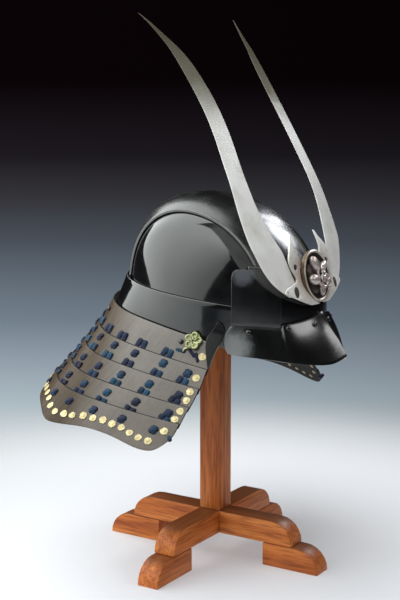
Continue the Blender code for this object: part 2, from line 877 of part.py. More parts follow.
def lame_face(turn, level, lift):
    """Place and normal on the outer face of the top lame."""
    off = (LAME + LAME_GAP) * (1.0 - level)
    here = guard_point(turn, level, off)
    step = guard_point(turn + 0.02, level, off) - here
    drop = guard_point(turn, level + 0.05, off - 0.05 * (LAME + LAME_GAP)) - here
    normal = np.cross(step, drop)
    if normal[0] * here[0] + normal[1] * here[1] < 0:
        normal = -normal
    normal /= np.linalg.norm(normal)
    return here + normal * lift, normal


def build_turnbacks(parent):
    lacquer = material("turnback_lacquer", (0.012, 0.012, 0.013), 0.0, 0.15)
    rows = spline(TURNBACK, 11)
    outer = []
    inner = []
    for z, fold, free in rows:
        line_out = []
        line_in = []
        for share in np.linspace(0.0, 1.0, 4):
            y = fold + (free - fold) * share
            x = BOWL_HALF_WIDTH * math.sqrt(1.0 - ((y - BOWL_CENTRE_Y) / BOWL_FRONT) ** 2)
            x += 6.6 + TURNBACK_FLARE * max(0.0, -z - 8.0)
            thick = 1.8 + 2.2 * (1.0 - share) ** 2 * smooth_step(-z, 6.0, 16.0)
            line_out.append(np.array([x, y, z]))
            line_in.append(np.array([x - thick, y + 0.2 * thick, z]))
        outer.append(line_out)
        inner.append(line_in)
    pair("turnback", outer, inner, lacquer, parent)


def build_lame_trim(parent):
    iron = material("lame_rivet_iron", (0.03, 0.03, 0.032), 0.2, 0.25)
    gilt = material("rosette_gilt", (0.62, 0.58, 0.33), 0.8, 0.35)
    number = 0
    for turn, level in LAME_RIVETS:
        for side in (-1.0, 1.0):
            number += 1
            place, normal = lame_face(turn * side, level, 0.0)
            stand_out(dome("lame_rivet_%d" % number, 3.2, 3.0, iron, parent), place, normal, 0.5)
    for label, side in (("right", -1.0), ("left", 1.0)):
        place, normal = lame_face(ROSETTE_PLACE[0] * side, ROSETTE_PLACE[1], 0.0)
        stand_out(rosette("rosette_" + label, gilt, parent), place, normal, 0.9)


def rosette(name, look, parent):
    """Pierced flower: a ring of petals round a raised eye."""
    segments = 24
    verts = []
    for k in range(segments):
        turn = 2.0 * math.pi * k / segments
        petal = 1.0 + 0.09 * math.cos(ROSETTE_PETALS * turn)
        for radius, height in ROSETTE_SECTION:
            reach = radius * (petal if radius > 4.0 else 1.0)
            verts.append((reach * math.cos(turn), reach * math.sin(turn), height))
    count = len(ROSETTE_SECTION)
    faces = []
    for k in range(segments):
        here = k * count
        there = ((k + 1) % segments) * count
        for i in range(count):
            j = (i + 1) % count
            faces.append([here + i, here + j, there + j, there + i])
    return body(name, verts, faces, look, parent)


# ---------------------------------------------------------------- crest


def build_horns(parent):
    silvered = material("horn_silver", (0.52, 0.50, 0.45), 0.85, 0.38)
    outer = []
    inner = []
    for z, near, far in spline(HORN, 24):
        line_out = []
        line_in = []
        for share in (0.0, 0.15, 0.85, 1.0):
            x = near + (far - near) * share
            crown = 0.5 * (2.0 * share - 1.0) ** 2
            y = crest_y(x, z)
            line_out.append(np.array([x, y + crown, z]))
            line_in.append(np.array([x, y + HORN_SHEET, z]))
        outer.append(line_out)
        inner.append(line_in)
    pair("horn", outer, inner, silvered, parent)


def holder_inner(z, given):
    """Inner edge: round the disc's wall low down, the prong's own edge above it."""
    if given > 0.0:
        return given
    across = crest_y(0.0, z) - SEAM - HOLDER_SHEET / 2.0 - DISC_CENTRE[1]
    up = across * math.sin(DISC_TILT) + (z - DISC_CENTRE[2]) * math.cos(DISC_TILT)
    return math.sqrt(max((DISC_RADIUS + 0.5) ** 2 - up * up, 16.0))


def build_holder(parent):
    silvered = material("holder_silver", (0.55, 0.53, 0.49), 0.85, 0.34)
    outer = []
    inner = []
    for z, near, far in HOLDER:
        near = holder_inner(z, near)
        line_out = []
        line_in = []
        for share in np.linspace(0.0, 1.0, 4):
            x = near + (far - near) * share
            y = crest_y(x, z) - SEAM
            line_out.append(np.array([x, y - HOLDER_SHEET, z]))
            line_in.append(np.array([x, y, z]))
        outer.append(line_out)
        inner.append(line_in)
    for side, half in zip((1.0, -1.0), pair("horn_holder", outer, inner, silvered, parent)):
        for x, z, width, drop in HOLDER_HOLES:
            cut_hole(half, side * x, z, width / 2.0, drop / 2.0, parent)


def cut_hole(target, x, z, half_width, half_drop, parent):
    segments = 12 if half_width > 2.0 else 6
    y = crest_y(x, z)
    verts = []
    for push in (-12.0, 12.0):
        for k in range(segments):
            turn = 2.0 * math.pi * k / segments
            verts.append((x + half_width * math.cos(turn), y + push, z + half_drop * math.sin(turn)))
    faces = [list(range(segments)), list(range(2 * segments - 1, segments - 1, -1))]
    for k in range(segments):
        n = (k + 1) % segments
        faces.append([k, n, segments + n, segments + k])
    name = "%s_cutter_%d" % (target.name, len(target.modifiers))
    cutter = body(name, verts, faces, target.data.materials[0], parent)
    cutter.hide_render = True
    cutter.display_type = "WIRE"
    cut = target.modifiers.new(name, "BOOLEAN")
    cut.operation = "DIFFERENCE"
    cut.solver = "EXACT"
    cut.object = cutter


def build_disc(parent):
    rim_silver = material("disc_rim_silver", (0.6, 0.57, 0.52), 0.85, 0.3)
    ground = material("disc_ground_brown", (0.1, 0.06, 0.05), 0.4, 0.45)
    scroll = material("disc_scroll_silver", (0.62, 0.53, 0.5), 0.85, 0.32)
    frame = empty("disc", parent)
    frame.location = Vector(DISC_CENTRE) * MM
    frame.rotation_euler = (math.pi / 2.0 - DISC_TILT, 0.0, 0.0)
    r = DISC_RADIUS
    rim = [(r, -DISC_DEPTH), (r, -0.8), (r - 0.9, 0.0), (r - 2.2, 0.0), (r - 3.0, -0.9)]
    rim.append((r - 3.0, -DISC_DEPTH))
    lathe("disc_rim", rim, 40, rim_silver, frame)
    g = r - 3.0 - SEAM
    dish = [(0.0, -DISC_DEPTH), (g, -DISC_DEPTH), (g, -2.6), (g - 4.0, -3.2), (0.0, -3.0)]
    lathe("disc_ground", dish, 32, ground, frame)
    verts = []
    segments = 30
    rings = (0.0, 3.0, 6.0, 9.5, 13.0, 17.0, 21.0)
    for ring, radius in enumerate(rings):
        for k in range(segments):
            turn = 2.0 * math.pi * k / segments
            swirl = math.cos(5.0 * turn + 0.25 * radius)
            reach = radius * (1.0 + (0.08 * swirl if ring > 4 else 0.0))
            fall = 1.0 - (radius / 22.0) ** 2
            height = 0.2 + 3.4 * fall * (0.72 + 0.28 * swirl * min(radius / 6.0, 1.0))
            height = height if ring < len(rings) - 1 else -1.6
            verts.append((reach * math.cos(turn), reach * math.sin(turn), height))
    for k in range(segments):
        turn = 2.0 * math.pi * k / segments
        reach = rings[-1] * (1.0 + 0.08 * math.cos(5.0 * turn + 0.25 * rings[-1]))
        verts.append((reach * math.cos(turn), reach * math.sin(turn), -2.4))
    faces = []
    for ring in range(len(rings)):
        for k in range(segments):
            n = (k + 1) % segments
            a = ring * segments
            faces.append([a + k, a + n, a + segments + n, a + segments + k])
    last = len(rings) * segments
    faces.append([last + k for k in range(segments)])
    body("disc_scroll", verts, faces, scroll, frame)


def build_bracket(parent):
    """Block that carries the disc on the brow plate."""
    iron = material("bracket_iron", (0.05, 0.045, 0.04), 0.6, 0.4)
    outer = []
    inner = []
    for z in BRACKET_HEIGHTS:
        back_of_disc = DISC_CENTRE[1] + (z - DISC_CENTRE[2]) * math.tan(DISC_TILT)
        back_of_disc += (DISC_DEPTH + SEAM) / math.cos(DISC_TILT)
        line_out = []
        line_in = []
        for x in np.linspace(-BRACKET_HALF, BRACKET_HALF, 5):
            theta = math.pi - math.atan2(x / 100.0, 1.2)
            brow = bowl_at_height(theta, z, BROW_FACE)
            line_out.append(np.array([x, back_of_disc, z]))
            line_in.append(np.array([x, brow[1] - 0.5, z]))
        outer.append(line_out)
        inner.append(line_in)
    shell("disc_bracket", outer, inner, iron, parent)


# ---------------------------------------------------------------- assembly


def span_of(objects):
    bpy.context.view_layer.update()
    ys = [(obj.matrix_world @ v.co).y for obj in objects for v in obj.data.vertices]
    return min(ys), max(ys)


def main():
    clear_scene()
    root = empty("kabuto_on_stand")
    helmet = empty("helmet", root)
    helmet.location = (0.0, 0.0, HELMET_HEIGHT * MM)
    helmet.rotation_euler = (HELMET_PITCH, 0.0, 0.0)
    build_stand(root)
    build_bowl(helmet)
    build_band(helmet)
    build_brow(helmet)
    build_visor(helmet)
    build_neck_guard(helmet)
    build_turnbacks(helmet)
    build_lame_trim(helmet)
    build_horns(helmet)
    build_holder(helmet)
    build_disc(helmet)
    build_bracket(helmet)
    solids = [o for o in bpy.data.objects if o.type == "MESH" and not o.hide_render]
    front, back = span_of(solids)
    root.location.y = -(front + back) / 2.0
    print("offset of the stand axis from the origin, mm: %.2f" % (root.location.y / MM))
    bpy.context.view_layer.update()


main()
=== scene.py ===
"""Kabuto helmet on its wooden stand: the finish of every piece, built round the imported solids."""

import math
import random

import bpy
import numpy as np
from mathutils import Matrix, Vector


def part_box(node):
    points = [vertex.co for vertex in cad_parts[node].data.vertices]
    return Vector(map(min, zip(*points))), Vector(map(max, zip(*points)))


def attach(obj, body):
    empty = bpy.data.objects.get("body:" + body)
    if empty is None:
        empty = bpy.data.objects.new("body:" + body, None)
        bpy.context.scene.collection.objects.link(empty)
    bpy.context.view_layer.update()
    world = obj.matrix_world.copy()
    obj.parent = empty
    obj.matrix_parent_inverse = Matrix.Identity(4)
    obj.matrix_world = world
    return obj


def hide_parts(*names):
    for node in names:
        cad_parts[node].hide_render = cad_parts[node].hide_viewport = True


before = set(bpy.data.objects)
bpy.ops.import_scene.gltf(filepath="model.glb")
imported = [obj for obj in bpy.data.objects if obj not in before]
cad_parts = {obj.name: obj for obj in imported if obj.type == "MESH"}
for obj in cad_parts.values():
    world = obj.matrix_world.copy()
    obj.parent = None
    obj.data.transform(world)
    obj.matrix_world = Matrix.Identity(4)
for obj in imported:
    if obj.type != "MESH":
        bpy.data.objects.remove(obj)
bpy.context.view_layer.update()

# ---------------------------------------------------------------- wooden stand
# Planed mahogany: two half-lapped beams with rounded ends, four feet and a square post.
# The pieces are glued; edges are eased with a plane and the wood has a thin warm varnish.


def use(piece):
    """Makes this piece alone the one that operators act on."""
    bpy.ops.object.select_all(action="DESELECT")
    piece.select_set(True)
    bpy.context.view_layer.objects.active = piece


def copy_of(node, name):
    """Piece that stands for a CAD node: its form, with the loose triangles joined into one skin."""
    piece = bpy.data.objects.new(name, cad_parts[node].data.copy())
    bpy.context.scene.collection.objects.link(piece)
    piece.data.materials.clear()
    use(piece)
    bpy.ops.object.mode_set(mode="EDIT")
    bpy.ops.mesh.customdata_custom_splitnormals_clear()
    bpy.ops.mesh.select_all(action="SELECT")
    bpy.ops.mesh.remove_doubles(threshold=0.00002)
    bpy.ops.mesh.tris_convert_to_quads(face_threshold=math.radians(40), shape_threshold=math.radians(120))
    bpy.ops.mesh.normals_make_consistent(inside=False)
    bpy.ops.object.mode_set(mode="OBJECT")
    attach(piece, "root")
    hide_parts(node)
    return piece


def shade(piece, turn):
    """Smooth shading, with an edge left hard where it turns by more than so many degrees."""
    use(piece)
    bpy.ops.object.shade_smooth_by_angle(angle=math.radians(turn))


def add(tree, kind, inputs=None, **settings):
    """Shader node with its settings; an input takes a value or another node's socket."""
    made = tree.nodes.new("ShaderNode" + kind)
    for key, value in settings.items():
        setattr(made, key, value)
    for key, value in (inputs or {}).items():
        if isinstance(value, bpy.types.NodeSocket):
            tree.links.new(value, made.inputs[key])
        else:
            made.inputs[key].default_value = value
    return made


def ramp(tree, factor, *stops):
    """Colour ramp through (place, linear colour) stops."""
    made = add(tree, "ValToRGB", {"Fac": factor})
    band = made.color_ramp
    while len(band.elements) < len(stops):
        band.elements.new(0.5)
    for element, (place, colour) in zip(band.elements, stops):
        element.position = place
        element.color = (*colour, 1.0)
    return made.outputs["Color"]


def finish(name, **values):
    """New material; values are the shader's plain sockets."""
    made = bpy.data.materials.new(name)
    made.use_nodes = True
    shader = made.node_tree.nodes["Principled BSDF"]
    for key, value in values.items():
        shader.inputs[key.replace("_", " ")].default_value = value
    return made, made.node_tree, shader


def group(name, numbers, outputs):
    """Node group that gives out colours, masks and values; numbers are its inputs and defaults."""
    made = bpy.data.node_groups.new(name, "ShaderNodeTree")
    for key, value in numbers.items():
        kind = "NodeSocketFloat" if isinstance(value, (int, float)) else "NodeSocketVector"
        made.interface.new_socket(key, in_out="INPUT", socket_type=kind).default_value = value
    for key, kind in outputs.items():
        made.interface.new_socket(key, in_out="OUTPUT", socket_type="NodeSocket" + kind)
    return made, made.nodes.new("NodeGroupInput").outputs, made.nodes.new("NodeGroupOutput").inputs


# Grain: long streaks along one axis of the piece, with a finer set of pores in them
wood_grain, given, out = group(
    "wood_grain", {"Stretch": (1.0, 1.0, 1.0)}, {"Streak": "Float", "Pore": "Float"}
)
place = add(wood_grain, "TexCoord").outputs["Object"]
stretched = add(wood_grain, "VectorMath", {0: place, 1: given["Stretch"]}, operation="MULTIPLY")
along = stretched.outputs["Vector"]
broad = add(wood_grain, "TexNoise", {"Vector": along, "Scale": 9.0, "Detail": 5.0, "Distortion": 0.6})
fine = add(wood_grain, "TexNoise", {"Vector": along, "Scale": 62.0, "Detail": 3.0})
wood_grain.links.new(broad.outputs["Fac"], out["Streak"])
wood_grain.links.new(fine.outputs["Fac"], out["Pore"])


def mahogany(name, stretch):
    """Red-brown wood whose grain runs along the axis that is stretched least."""
    made, tree, shader = finish(name, Coat_Weight=0.1, Coat_Roughness=0.3, Specular_IOR_Level=0.25)
    grain = add(tree, "Group", node_tree=wood_grain)
    grain.inputs["Stretch"].default_value = stretch
    streak, pore = grain.outputs["Streak"], grain.outputs["Pore"]
    tone = ramp(tree, streak, (0.28, (0.35, 0.080, 0.015)), (0.5, (0.56, 0.157, 0.032)),
                (0.72, (0.74, 0.260, 0.062)))
    dark = ramp(tree, pore, (0.36, (0.55, 0.47, 0.43)), (0.52, (1.0, 1.0, 1.0)))
    grained = {"Factor": 0.8, "A": tone, "B": dark}
    planed = add(tree, "Mix", grained, data_type="RGBA", blend_type="MULTIPLY")
    # Painted shade: upward faces are darkened, as if shadowed from above
    facing = add(tree, "SeparateXYZ", {"Vector": add(tree, "NewGeometry").outputs["Normal"]}).outputs["Z"]
    painted_top_shade = add(tree, "MapRange", {"Value": facing, "From Min": 0.75, "From Max": 0.97, "To Max": 0.75})
    darkened = {"Factor": painted_top_shade.outputs["Result"], "A": planed.outputs[2], "B": (0.145, 0.042, 0.014, 1.0)}
    darker_tone = add(tree, "Mix", darkened, data_type="RGBA")
    tree.links.new(darker_tone.outputs[2], shader.inputs["Base Color"])
    rough = add(tree, "MapRange", {"Value": pore, "To Min": 0.62, "To Max": 0.4})
    tree.links.new(rough.outputs["Result"], shader.inputs["Roughness"])
    bump = add(tree, "Bump", {"Height": pore, "Strength": 0.35, "Distance": 0.0004})
    tree.links.new(bump.outputs["Normal"], shader.inputs["Normal"])
    return made


grain_x = mahogany("mahogany_along_x", (0.5, 7.0, 7.0))
grain_y = mahogany("mahogany_along_y", (7.0, 0.5, 7.0))
grain_z = mahogany("mahogany_along_z", (7.0, 7.0, 0.5))
for node, wood in (
    ("foot_right", grain_x), ("foot_left", grain_x), ("foot_front", grain_y), ("foot_back", grain_y),
    ("beam_x", grain_x), ("beam_y", grain_y), ("post", grain_z), ("rest_cap", grain_z),
):
    piece = copy_of(node, "wood_" + node)
    piece.data.materials.append(wood)
    shade(piece, 32)

# ---------------------------------------------------------------- lacquered bowl
# Iron plates under black urushi lacquer, polished: two side plates, a top plate riveted over
# them, a waist band, a brow plate and two temple plates, all with rounded rims.

# Lacquer: faint waviness of the polished coats, dust in it, and thin wear
lacquer_coats, given, out = group(
    "lacquer_coats", {"Dust": 0.3, "Wave": 0.5}, {"Dusty": "Float", "Height": "Float"}
)
place = add(lacquer_coats, "TexCoord").outputs["Object"]
wave = add(lacquer_coats, "TexNoise", {"Vector": place, "Scale": 38.0, "Detail": 2.0})
fine = add(lacquer_coats, "TexNoise", {"Vector": place, "Scale": 900.0, "Detail": 2.0})
cloud = add(lacquer_coats, "TexNoise", {"Vector": place, "Scale": 22.0, "Detail": 6.0, "Roughness": 0.7})
speck = add(lacquer_coats, "MapRange", {"Value": fine.outputs["Fac"], "From Min": 0.62, "From Max": 0.72})
spread = add(lacquer_coats, "MapRange", {"Value": cloud.outputs["Fac"], "From Min": 0.42, "From Max": 0.68})
faint = add(lacquer_coats, "Math", {0: speck.outputs["Result"], 1: 0.35}, operation="MULTIPLY")
both = add(lacquer_coats, "Math", {0: faint.outputs[0], 1: spread.outputs["Result"]}, operation="ADD")
dusty = add(lacquer_coats, "Math", {0: both.outputs[0], 1: given["Dust"]}, operation="MULTIPLY")
lift = add(lacquer_coats, "Math", {0: wave.outputs["Fac"], 1: given["Wave"]}, operation="MULTIPLY")
lacquer_coats.links.new(dusty.outputs[0], out["Dusty"])
lacquer_coats.links.new(lift.outputs[0], out["Height"])

# Haze: soft patch round a point, worn silver on the horns and painted light on the temple plates
# and the visor's side ends. It drops the signs, so both sides of the helmet have it
wear_and_painted_sheen, given, out = group(
    "wear_and_painted_sheen", {"Centre": (0.08, 0.08, 0.3), "Reach": 0.02}, {"Haze": "Float"}
)
place = add(wear_and_painted_sheen, "TexCoord").outputs["Object"]
even = add(wear_and_painted_sheen, "VectorMath", {0: place}, operation="ABSOLUTE").outputs["Vector"]
away = add(wear_and_painted_sheen, "VectorMath", {0: even, 1: given["Centre"]}, operation="DISTANCE").outputs["Value"]
share = add(wear_and_painted_sheen, "Math", {0: away, 1: given["Reach"]}, operation="DIVIDE").outputs["Value"]
cloud = add(wear_and_painted_sheen, "TexNoise", {"Vector": place, "Scale": 170.0, "Detail": 5.0, "Roughness": 0.6})
ragged = add(wear_and_painted_sheen, "Math", {0: cloud.outputs["Fac"], 1: 0.5, 2: share}, operation="MULTIPLY_ADD")
soft = add(
    wear_and_painted_sheen, "MapRange",
    {"Value": ragged.outputs["Value"], "From Min": 0.55, "From Max": 1.25, "To Min": 1.0, "To Max": 0.0},
    interpolation_type="SMOOTHSTEP",
)
wear_and_painted_sheen.links.new(soft.outputs["Result"], out["Haze"])


def lay_patch(material, centre, reach, colour):
    """Lays a soft patch of colour over a finish, wear on some pieces and painted light on others; reach and
    centre, without its signs, in metres.
    """
    tree = material.node_tree
    patch = add(tree, "Group", node_tree=wear_and_painted_sheen)
    patch.inputs["Centre"].default_value = centre
    patch.inputs["Reach"].default_value = reach
    base = tree.nodes["Principled BSDF"].inputs["Base Color"]
    under = base.links[0].from_socket
    over = {"Factor": patch.outputs["Haze"], "A": under, "B": (*colour, 1.0)}
    tree.links.new(add(tree, "Mix", over, data_type="RGBA").outputs[2], base)


def lacquer(
    name, gloss, dust=0.3, wave=0.5, shine=0.75, colour=(0.004, 0.004, 0.0045), dusty=(0.05, 0.052, 0.05)
):
    """Urushi: gloss is its roughness where clean, shine how strongly it mirrors."""
    made, tree, shader = finish(name, Specular_IOR_Level=shine)
    coats = add(tree, "Group", node_tree=lacquer_coats)
    coats.inputs["Dust"].default_value = dust
    coats.inputs["Wave"].default_value = wave
    mask = coats.outputs["Dusty"]
    tone = ramp(tree, mask, (0.0, colour), (1.0, dusty))
    tree.links.new(tone, shader.inputs["Base Color"])
    rough = add(tree, "MapRange", {"Value": mask, "To Min": gloss, "To Max": gloss + 0.25})
    tree.links.new(rough.outputs["Result"], shader.inputs["Roughness"])
    bump = add(tree, "Bump", {"Height": coats.outputs["Height"], "Strength": 0.5, "Distance": 0.0006})
    tree.links.new(bump.outputs["Normal"], shader.inputs["Normal"])
    return made


def apply(piece, kind, name, **settings):
    """Adds a modifier with its settings and applies it."""
    modifier = piece.modifiers.new(name, kind)
    for key, value in settings.items():
        setattr(modifier, key, value)
    use(piece)
    bpy.ops.object.modifier_apply(modifier=modifier.name)


RIM_TURN = math.radians(38)  # an edge that turns by more is a rim of the sheet


def plate(node, name, coat, rim=0.0005, rim_coat=None):
    """A CAD sheet with its facets faired out between the rims, and the rims rounded, in a coat of their own
    where one is given.
    """
    piece = copy_of(node, name)
    use(piece)
    bpy.ops.object.mode_set(mode="EDIT")
    bpy.ops.mesh.select_mode(type="EDGE")
    bpy.ops.mesh.select_all(action="DESELECT")
    bpy.ops.mesh.edges_select_sharp(sharpness=RIM_TURN)
    bpy.ops.transform.edge_crease(value=1.0)
    bpy.ops.object.mode_set(mode="OBJECT")
    apply(piece, "SUBSURF", "fair", levels=2, render_levels=2)
    piece.data.materials.append(coat)
    piece.data.materials.append(rim_coat or coat)
    apply(piece, "BEVEL", "rim", width=rim, segments=2, limit_method="ANGLE", angle_limit=RIM_TURN,
          material=1)
    use(piece)
    bpy.ops.object.shade_smooth()
    return piece


bowl_lacquer = lacquer("bowl_lacquer", 0.07, dust=0.15)
top_lacquer = lacquer("top_lacquer", 0.23, dust=0.3, wave=1.3)
brow_lacquer = lacquer("brow_lacquer", 0.12, dust=0.08)
temple_lacquer = lacquer("temple_lacquer", 0.15, dust=0.15)
# Painted highlight: a pale bluish patch at the temple plates' upper corners
lay_patch(temple_lacquer, (0.078, 0.081, 0.3475), 0.016, (0.085, 0.088, 0.098))
# Painted highlight: a lighter grey coat along the plates' rounded rims
rim_painted_highlight = lacquer("rim_painted_highlight", 0.3, dust=0.6, colour=(0.07, 0.07, 0.066), dusty=(0.2, 0.19, 0.17))
for node in ("side_plate_right", "side_plate_left", "waist_band"):
    plate(node, "lacquered_" + node, bowl_lacquer, rim_coat=rim_painted_highlight)
plate("top_plate", "lacquered_top_plate", top_lacquer, rim_coat=rim_painted_highlight)
plate("brow_plate", "lacquered_brow_plate", brow_lacquer, rim_coat=rim_painted_highlight)
for node in ("temple_plate_right", "temple_plate_left"):
    plate(node, "lacquered_" + node, temple_lacquer, rim_coat=rim_painted_highlight)

# ---------------------------------------------------------------- visor
# One iron sheet forged to a ridge in front and lacquered like the bowl, with a painted grey
# reflection at its side ends. Six dome-headed iron rivets hold it to the brow.
visor_lacquer = lacquer("visor_lacquer", 0.2, dust=0.12, wave=0.7)
# Painted reflection: a grey patch on the visor's side ends
lay_patch(visor_lacquer, (0.086, 0.073, 0.268), 0.027, (0.17, 0.175, 0.175))
plate("visor", "lacquered_visor", visor_lacquer)

rivet_iron = lacquer("rivet_lacquer", 0.12, dust=0.2)


def rivet(node):
    """Domed head with its facets faired out."""
    piece = copy_of(node, "domed_" + node)
    apply(piece, "SUBSURF", "fair", levels=2, render_levels=2)
    piece.data.materials.append(rivet_iron)
    use(piece)
    bpy.ops.object.shade_smooth()


for number in range(1, 7):
    rivet("visor_rivet_%d" % number)

# ---------------------------------------------------------------- neck guard
# Five bent lames of leather, stiff with brown-grey lacquer, each outside the one above it. The
# top one has short black ends turned back beside the temple and is riveted to the waist band.
HELMET_HEIGHT = 0.300  # level of the helmet's own zero over the floor, m
HELMET_PITCH = math.radians(7.5)  # the helmet leans forward on the post
post_low, post_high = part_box("post")
post_middle = (post_low + post_high) / 2.0
HELMET_SEAT = (
    Matrix.Translation((post_middle.x, post_middle.y, HELMET_HEIGHT))
    @ Matrix.Rotation(HELMET_PITCH, 4, "X")
)

# The guard's outside in the helmet's frame, mm: value at level 0, and what each level adds
GUARD_HALF_WIDTH = (101.0, 18.08)
GUARD_BACK = (76.4, 5.35)
GUARD_CENTRE_Y = (31.24, 3.44)
GUARD_TILT = (0.1086, -0.0155)
GUARD_FULLNESS = 2.37  # 2 would make the back an ellipse
GUARD_INWARD = 0.0014  # how quickly the straight arms close in towards the front
GUARD_HEIGHTS = [-10.8, -36.9, -55.8, -74.1, -89.9, -105.7, -121.5]  # level 0 to 6
LAME_STEP = 2.5  # each lame stands this far outside the one above
LAME_SHEET = 1.9  # thickness of a lame


def guard_point(turn, level, lame, lift=0.0):
    """Outer face of a lame in the row frame: turn in quarter turns from the back, + is the left."""
    side = math.copysign(1.0, turn)
    turn = abs(turn)
    off = LAME_STEP * (1.0 + lame - level) + lift
    half = GUARD_HALF_WIDTH[0] + GUARD_HALF_WIDTH[1] * level + off
    back = GUARD_BACK[0] + GUARD_BACK[1] * level + off
    centre = GUARD_CENTRE_Y[0] + GUARD_CENTRE_Y[1] * level
    tilt = GUARD_TILT[0] + GUARD_TILT[1] * level
    angle = min(turn, 1.0) * math.pi / 2.0
    run = max(turn - 1.0, 0.0) * 100.0
    x = half * math.sin(angle) ** (2.0 / GUARD_FULLNESS) - GUARD_INWARD * run * run
    y = centre + back * max(math.cos(angle), 0.0) ** (2.0 / GUARD_FULLNESS) - run
    z = float(np.interp(level, range(7), GUARD_HEIGHTS)) + tilt * (y - centre)
    return HELMET_SEAT @ (Vector((side * x, y, z)) / 1000.0)


def on_guard(turn, level, lame, lift=0.0):
    """Placing matrix on a lame: Z outwards, Y up the lame."""
    here = guard_point(turn, level, lame, lift)
    up = (guard_point(turn, level - 0.04, lame, lift) - here).normalized()
    round_it = guard_point(turn + 0.01, level, lame, lift) - here
    out = round_it.cross(up).normalized()
    middle = HELMET_SEAT @ Vector((0.0, 0.02, here.z - HELMET_HEIGHT))
    if out.dot(here - middle) < 0.0:
        out = -out
    across = up.cross(out).normalized()
    return Matrix.Translation(here) @ Matrix((across, up, out)).transposed().to_4x4()


def brown_lacquer():
    """Brown-grey lacquer, brushed down the lames and crossed by fine wear."""
    made, tree, shader = finish("lame_lacquer")
    uv = add(tree, "UVMap", uv_map="round_and_down").outputs["UV"]
    where = add(tree, "SeparateXYZ", {"Vector": add(tree, "TexCoord").outputs["Object"]}).outputs
    drawn = add(tree, "VectorMath", {0: uv, 1: (900.0, 22.0, 1.0)}, operation="MULTIPLY").outputs[0]
    streak = add(tree, "TexNoise", {"Vector": drawn, "Scale": 1.0, "Detail": 3.0, "Roughness": 0.6})
    coats = add(tree, "Group", node_tree=lacquer_coats)
    coats.inputs["Dust"].default_value = 0.7
    coats.inputs["Wave"].default_value = 0.4
    tone = ramp(tree, streak.outputs["Fac"], (0.3, (0.034, 0.023, 0.015)), (0.5, (0.052, 0.036, 0.024)),
                (0.7, (0.074, 0.053, 0.038)))
    worn = add(tree, "Mix", {"Factor": coats.outputs["Dusty"], "A": tone, "B": (0.10, 0.078, 0.058, 1.0)},
               data_type="RGBA")
    # Painted shade: darker, without dust, towards the nape; the specular level also falls there and towards
    # the hem
    painted_side_light = add(tree, "MapRange", {"Value": where["Y"], "From Min": 0.072, "From Max": 0.036})
    painted_nape_shade = ramp(tree, streak.outputs["Fac"], (0.3, (0.038, 0.026, 0.017)), (0.7, (0.078, 0.056, 0.038)))
    side_light_share = painted_side_light.outputs["Result"]
    darker_tone = add(tree, "Mix", {"Factor": side_light_share, "A": painted_nape_shade, "B": worn.outputs[2]}, data_type="RGBA")
    tree.links.new(darker_tone.outputs[2], shader.inputs["Base Color"])
    height = {"Value": where["Z"], "From Min": 0.19, "From Max": 0.29, "To Min": 0.38, "To Max": 0.80}
    upper = add(tree, "MapRange", height).outputs["Result"]
    sheen = add(tree, "Math", {0: side_light_share, 1: upper, 2: 0.08}, operation="MULTIPLY_ADD")
    tree.links.new(sheen.outputs["Value"], shader.inputs["Specular IOR Level"])
    rough = add(tree, "MapRange", {"Value": streak.outputs["Fac"], "To Min": 0.26, "To Max": 0.4})
    tree.links.new(rough.outputs["Result"], shader.inputs["Roughness"])
    bump = add(tree, "Bump", {"Height": streak.outputs["Fac"], "Strength": 0.25, "Distance": 0.0002})
    tree.links.new(bump.outputs["Normal"], shader.inputs["Normal"])
    return made


lame_lacquer = brown_lacquer()
# Dark coat of the lames' inner side, also laid on their rims as painted shade along the steps
inner_coat_and_painted_edge_shade = lacquer("inner_coat_and_painted_edge_shade", 0.6, dust=0.5, colour=(0.010, 0.009, 0.008), shine=0.1)
seat_back = HELMET_SEAT.inverted()
for number in range(1, 6):
    piece = plate("lame_%d" % number, "laced_lame_%d" % number, lame_lacquer, rim=0.0004,
                  rim_coat=inner_coat_and_painted_edge_shade)
    # A map that runs round and down the guard, and the dark, matt coat on the inner side; on the rims that
    # coat is painted shade
    layer = piece.data.uv_layers.new(name="round_and_down")
    for loop in piece.data.loops:
        at = seat_back @ piece.data.vertices[loop.vertex_index].co
        layer.data[loop.index].uv = (0.13 * math.atan2(at.x, 0.035 + at.y), at.z)
    for face in piece.data.polygons:
        at = seat_back @ face.center
        outward = Vector((at.x, max(at.y - 0.04, 0.0) * 1.3, 0.04)).normalized()
        if (seat_back.to_3x3() @ face.normal).dot(outward) < 0.55:
            face.material_index = 1
for node in ("lame_rivet_1", "lame_rivet_2", "lame_rivet_3", "lame_rivet_4"):
    rivet(node)
turnback_lacquer = lacquer("turnback_lacquer", 0.3, dust=0.1, shine=0.2)
# Painted highlight: a pale coat along the turnbacks' rolled rims
painted_highlight_rim = lacquer("painted_highlight_rim", 0.25, dust=0.5, colour=(0.12, 0.12, 0.115), dusty=(0.3, 0.29, 0.27))
for node in ("turnback_right", "turnback_left"):
    plate(node, "lacquered_" + node, turnback_lacquer, rim=0.0007, rim_coat=painted_highlight_rim)

# ---------------------------------------------------------------- rosettes
# Openwork flower of gilt copper, one on each side of the top lame: five rings of wire soldered
# round a cast eye, with a short curled tail. It is pinned on, and its gilding is tarnished.

# Tarnish: clouds, fine on the gilt pieces and broad on the silvered ones
GILT_CLOUD = {"Scale": 260.0, "Detail": 5.0, "Roughness": 0.65}
SILVER_CLOUD = {"Scale": 30.0, "Detail": 4.0, "Roughness": 0.62}
tarnish_cloud, given, out = group("tarnish_cloud", SILVER_CLOUD, {"Cloud": "Float"})
place = add(tarnish_cloud, "TexCoord").outputs["Object"]
cloud = add(tarnish_cloud, "TexNoise", {"Vector": place, **{key: given[key] for key in SILVER_CLOUD}})
tarnish_cloud.links.new(cloud.outputs["Fac"], out["Cloud"])


